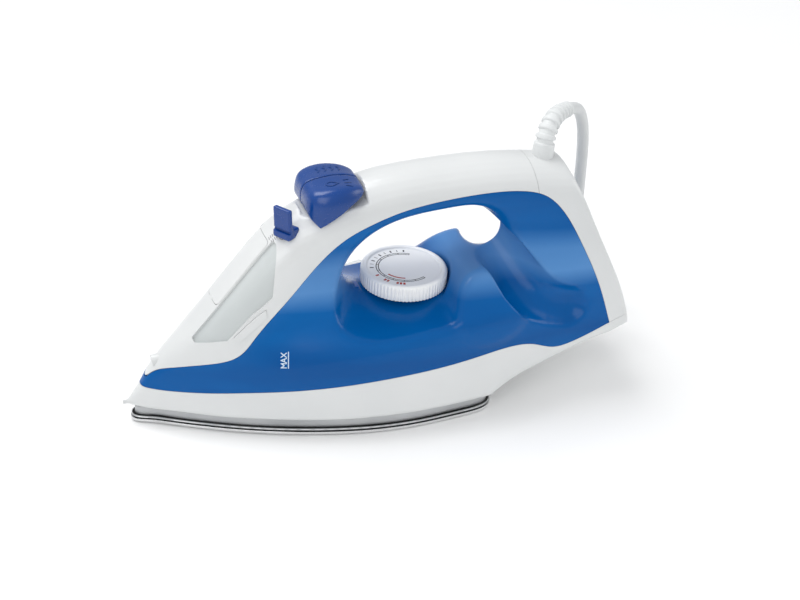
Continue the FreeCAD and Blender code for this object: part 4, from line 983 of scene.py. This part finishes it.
def button_field():
    """Sections across the cap, cut by its side outline, and kept a quarter millimetre off the middle."""
    table = smooth_curve(BUTTON_STATIONS, 80)
    flat = np.stack(np.meshgrid(by, bz, indexing="ij"), -1).reshape(-1, 2)
    made = np.empty((len(bx), len(by), len(bz)))
    for i, x in enumerate(bx):
        half, crown = (np.interp(x, table[:, 0], table[:, k]) for k in (1, 2))
        rise = np.array([(half, 112), (half, 124), (half - 0.5, crown - 5.2), (half * 0.84, crown - 1.5),
                         (half * 0.45, crown - 0.4), (0, crown)])
        arch = smooth_curve(np.vstack([rise, rise[-2::-1] * (-1, 1)]), 60)
        made[i] = flat_distance(flat, np.vstack([(half, 100), arch, (-half, 100)])).reshape(len(by), len(bz))
    sides = np.stack(np.meshgrid(bx, bz, indexing="ij"), -1).reshape(-1, 2)
    outline = flat_distance(sides, np.array(BUTTON_SIDE, float)).reshape(len(bx), 1, len(bz))
    ends = np.maximum(95.6 - bx, bx - 128.9)[:, None, None]
    return soft_max(soft_max(soft_max(made, outline, 1.6), ends, 3.0), CAP_OFF_MIDDLE - by[None, :, None], 0.7)


cap_points, cap_faces = surface(button_field(), np.array([bx[0], by[0], bz[0]]), FINE)
print("button", len(cap_points), "points")


def mirrored(points, faces):
    """The same surface on the other side of the middle plane, still facing outwards."""
    return points * (1, -1, 1), faces[:, ::-1]


add("spray_button_cap", *mirrored(cap_points, cap_faces), button_blue, "spray_button", "blue_plastic",
    ["spray_button"])
add("steam_button_cap", cap_points, cap_faces, button_blue, "steam_button", "blue_plastic", ["steam_button"])

# %% [markdown]
# ## Steam slider
# The slider is a bent navy tab. A flat foot comes out of the slot beside the ridge, and a plate for
# the thumb stands on it, with a groove across its foot. Boxes with soft edges make it: a box's field
# is the distance to its nearest side, and turning the points first turns the box.

# %% Slider
SLIDER_X, SLIDER_REST, TAB_STEP = 101.0, np.radians(36.0), 0.5
sx, sy, sz = np.arange(-29, -12, TAB_STEP), np.arange(-8, 8.5, TAB_STEP), np.arange(110, 138, TAB_STEP)
SX, SY, SZ = np.meshgrid(sx, sy, sz, indexing="ij")


def soft_box(middle, half_size, soft, lean=0.0):
    """Field of a box with rounded edges that leans outwards by so much per millimetre of height."""
    moved = SX + lean * (SZ - middle[2])
    gap = np.stack([np.abs(moved - middle[0]), np.abs(SY - middle[1]), np.abs(SZ - middle[2])], -1)
    gap = gap - np.array(half_size) + soft
    return np.linalg.norm(np.maximum(gap, 0), axis=-1) + np.minimum(gap.max(-1), 0) - soft


plate = soft_box((-23.2, 0, 124.4), (1.5, 5.6, 9.0), 0.7, lean=0.10)
foot = soft_box((-20.2, 0, 117.4), (4.6, 5.6, 2.8), 0.8)
groove = soft_box((-25.4, 0, 119.6), (2.2, 8.0, 0.8), 0.3)
tab = soft_max(-soft_max(-plate, -foot, 1.2), -groove, 0.4)
points, faces = surface(tab, np.array([sx[0], sy[0], sz[0]]), TAB_STEP)
turn = np.array([[np.cos(SLIDER_REST), np.sin(SLIDER_REST)], [-np.sin(SLIDER_REST), np.cos(SLIDER_REST)]])
points[:, :2] = points[:, :2] @ turn + (SLIDER_X, 0)
add("steam_slider_tab", points, faces, navy, "steam_slider", "navy_plastic", ["steam_slider"])

# %% [markdown]
# ## Marks
# The tank shows its highest water level with a line and a generic word, and the slider's two ends
# have a small ring and a few dashes. The strokes are drawn on a flat sheet laid on the skin. The skin
# is cut to finer triangles, trimmed to the strokes, and lifted by less than a tenth of a millimetre,
# so the mark lies on the surface as ink does.

# %% Marks on the shell
LETTERS = {"M": ((0, 0), (0, 3), (1.2, 1.2), (2.4, 3), (2.4, 0)), "A": ((0, 0), (1.2, 3), (2.4, 0)),
           "A bar": ((0.5, 1.1), (1.9, 1.1)), "X": ((0, 0), (2.4, 3)), "X back": ((0, 3), (2.4, 0))}
LETTER_AT = {"M": 0.0, "A": 3.0, "A bar": 3.0, "X": 6.0, "X back": 6.0}
WORD_AT = np.array([80.3, -35.2, 44.2])
WORD_UP, WORD_OUT = (w / np.linalg.norm(w) for w in np.array([(0.6, 2.9, 8.7), (-4.4, 1.5, -0.2)]))
MARK_REACH, MARK_DEPTH = 17.0, 6.0


def flat_strokes(x, y, strokes, width):
    """Distance to strokes drawn on a flat sheet, less half their width."""
    p = np.column_stack([x, y, 0 * x])
    return np.min([along_line(p, np.array([(*q, 0) for q in s], float), [width / 2] * len(s))
                   for s in strokes], axis=0)


def inked(name, start, origin, up, out, strokes, width, ink, body, slot, lift=0.07):
    """Trims the skin to the strokes of a flat sheet laid on it at the origin, and lifts what is left."""
    points, faces = start
    faces = faces[(np.linalg.norm(points - origin, axis=1) < MARK_REACH)[faces].all(1)]
    faces = faces[(np.abs((points - origin) @ np.cross(up, out)) < MARK_DEPTH)[faces].all(1)]
    for _ in range(2):
        points, faces = finer(points, faces)
    marks = part_of((points, faces), lambda x, y, z: flat_strokes(
        *((np.column_stack([x, y, z]) - origin) @ np.column_stack([up, out])).T, strokes, width))
    add(name, *shifted(marks, lift), ink, body, slot)


def finer(points, faces):
    """Every triangle cut in four at the middles of its sides."""
    edges = np.sort(np.vstack([faces[:, [0, 1]], faces[:, [1, 2]], faces[:, [2, 0]]]), 1)
    unique, back = np.unique(edges, axis=0, return_inverse=True)
    middle = len(points) + back.ravel().reshape(3, -1)
    a, b, c = faces.T
    ab, bc, ca = middle
    split = np.vstack([np.column_stack(t) for t in ((a, ab, ca), (ab, b, bc), (ca, bc, c), (ab, bc, ca))])
    return np.vstack([points, points[unique].mean(1)]), split


word = [[(u + LETTER_AT[k], v) for u, v in line] for k, line in LETTERS.items()]
word.append([(-0.3, -1.1), (9.0, -1.1)])
inked("water_mark", tank, WORD_AT, WORD_UP, WORD_OUT, word, 0.55, pale_ink, "iron", "blue_tank")
grey_ink = finish("grey_ink", (0.16, 0.165, 0.17), (0.2, 0.205, 0.21), (0.45, 0.6), bump=0.0)
MARK_AT, SLOPE = np.array([80.5, -9.0, 112.0]), np.array([0.62, 0.0, 0.785])
circle = [(2.6 + 1.2 * np.cos(a), 2.8 + 1.2 * np.sin(a)) for a in np.linspace(0, 2 * np.pi, 13)]
dashes = [[(-3.4 + 1.3 * k, row), (-2.9 + 1.3 * k, row - 1.5)] for k in range(4) for row in (1.2, -1.6)]
inked("slider_marks", nose, MARK_AT, SLOPE, np.array([0.0, -1.0, 0.0]), [circle, *dashes], 0.4, grey_ink,
      "iron", "white_plastic")

# %% [markdown]
# The buttons carry raised signs: a drop over the spray, and short rising lines over the steam. They
# are trimmed from the cap's own surface and lifted, like the marks.

# %% Signs on the buttons
CAP_TOP, SIGN_RISE, SIGN_WIDTH = 136, 0.3, 0.8


def raised(name, side, strokes, body):
    """Trims the top of one cap to the strokes, drawn in plan, and lifts what is left by SIGN_RISE."""
    points, faces = (cap_points, cap_faces) if side > 0 else mirrored(cap_points, cap_faces)
    points, faces = finer(points, faces[(points[:, 2] > CAP_TOP)[faces].all(1)])
    points, faces = part_of((points, faces), lambda x, y, z: flat_strokes(x, y, strokes, SIGN_WIDTH))
    add(name, points + (0, 0, SIGN_RISE), faces, button_blue, body, "blue_plastic")


angles = np.linspace(0.6, 2 * np.pi - 0.6, 12)
drop = [(110 + 2.6 * np.cos(a), -9 + 2.2 * np.sin(a)) for a in angles]
raised("spray_sign", -1, [drop + [(114.5, -9), drop[0]], [(118, -6), (121, -5)], [(118, -9), (121.5, -9)],
                          [(118, -12), (121, -13)]], "spray_button")
waves = [[(107 + 4 * k, 6), (108.2 + 4 * k, 8), (106.8 + 4 * k, 10), (108 + 4 * k, 12)] for k in range(4)]
raised("steam_sign", 1, waves, "steam_button")

# %% [markdown]
# ## The carried-over pieces
# The pieces whose CAD shape is already right keep it, and each gets the finish of its own stuff.

# %% Finishes of the carried-over pieces
cast = finish("cast_aluminium", (0.42, 0.43, 0.44), (0.56, 0.57, 0.58), (0.35, 0.5), metal=1.0, grain=420.0,
              bump=0.12)
drawn = finish("drawn_steel", (0.34, 0.33, 0.32), (0.46, 0.45, 0.44), (0.25, 0.4), metal=1.0,
               stretch=(0.2, 1, 1))
plated = finish("plated_steel", (0.58, 0.58, 0.57), (0.70, 0.70, 0.69), (0.15, 0.28), metal=1.0)
clear_blue = finish("lens_blue", (0.01, 0.09, 0.36), (0.02, 0.13, 0.46), (0.12, 0.2), coat=0.3, bump=0.01)
silicone = finish("silicone", (0.50, 0.50, 0.49), (0.58, 0.58, 0.57), (0.5, 0.65), bump=0.12, subsurface=0.1)
neon = finish("neon_glass", (0.70, 0.22, 0.06), (0.85, 0.32, 0.10), (0.08, 0.15), coat=0.4, bump=0.01)
CARRIED = (
    (steel, "sole_sheet"),
    (cast, "sole_casting steam_chamber_cover thermostat_spindle"),
    (drawn, "heating_element heat_shield thermostat"),
    (plated, "sole_screws rear_cover_screws spray_spring steam_spring filler_hinge_pin steam_valve_rod"),
    (brass, "element_terminals"),
    (clear_blue, "pilot_lens tank_lid tank_floor"),
    (neon, "pilot_lamp"),
    (silicone, "steam_valve_seat spray_tube suction_tube steam_hose heater_wires lead_wires thermal_fuse"),
    (cord_skin, "cord_bush cord_tie"),
    (dark, "terminal_block spindle_tube"),
    (white, "spray_nozzle filler_neck spray_pump steam_pump spray_piston steam_piston"),
)
for look, names in CARRIED:
    for name in names.split():
        node = frame["nodes"][name]
        if not node.data.materials:
            node.data.materials.append(look)
        for holder in node.material_slots:
            holder.material = look
shown = [n for n, node in frame["nodes"].items() if not node.hide_render]
print("carried over", len(shown), "still plain", set(shown) - {n for _, names in CARRIED for n in names.split()})

# %% [markdown]
# ## Light and floor
# A pale, wide floor, a large soft light above and behind, a gentler one from the front, and a bright
# plain world give the even light of a table near a window.

# %% Floor, lights and world
floor_finish = finish("pale_floor", (0.90, 0.90, 0.895), (0.93, 0.93, 0.925), (0.5, 0.6), cloud=3.0, bump=0.02)
size = np.linspace(-3, 3, 7)
fx, fy = np.meshgrid(size, size, indexing="ij")
floor_points = np.stack([fx, fy, np.full_like(fx, -0.0004)], -1).reshape(-1, 3)
floor_mesh = bpy.data.meshes.new("floor")
floor_mesh.from_pydata(floor_points.tolist(), [], grid_faces(7, 7)[:, ::-1].tolist())
floor_mesh.materials.append(floor_finish)
floor = bpy.data.objects.new("floor", floor_mesh)
bpy.context.scene.collection.objects.link(floor)


def soft_light(name, at, size, power):
    """A square light of a size and power in watts, aimed at the middle of the iron."""
    data = bpy.data.lights.new(name, "AREA")
    data.shape, data.size, data.energy = "SQUARE", size, power
    lamp = bpy.data.objects.new(name, data)
    lamp.location = at
    lamp.rotation_euler = (Vector((0, 0, 0.06)) - Vector(at)).to_track_quat("-Z", "Y").to_euler()
    bpy.context.scene.collection.objects.link(lamp)


soft_light("key_light", (-0.5, 0.5, 1.5), 1.0, 16)
soft_light("front_light", (-0.9, -1.3, 1.1), 1.2, 10)
soft_light("right_light", (1.5, -0.3, 0.7), 0.8, 5)
world = bpy.data.worlds.new("soft_room")
bpy.context.scene.world = world
world.use_nodes = True
world.node_tree.nodes["Background"].inputs["Color"].default_value = (0.96, 0.975, 1.0, 1)
world.node_tree.nodes["Background"].inputs["Strength"].default_value = 0.62
bpy.context.scene.view_settings.view_transform = "Standard"
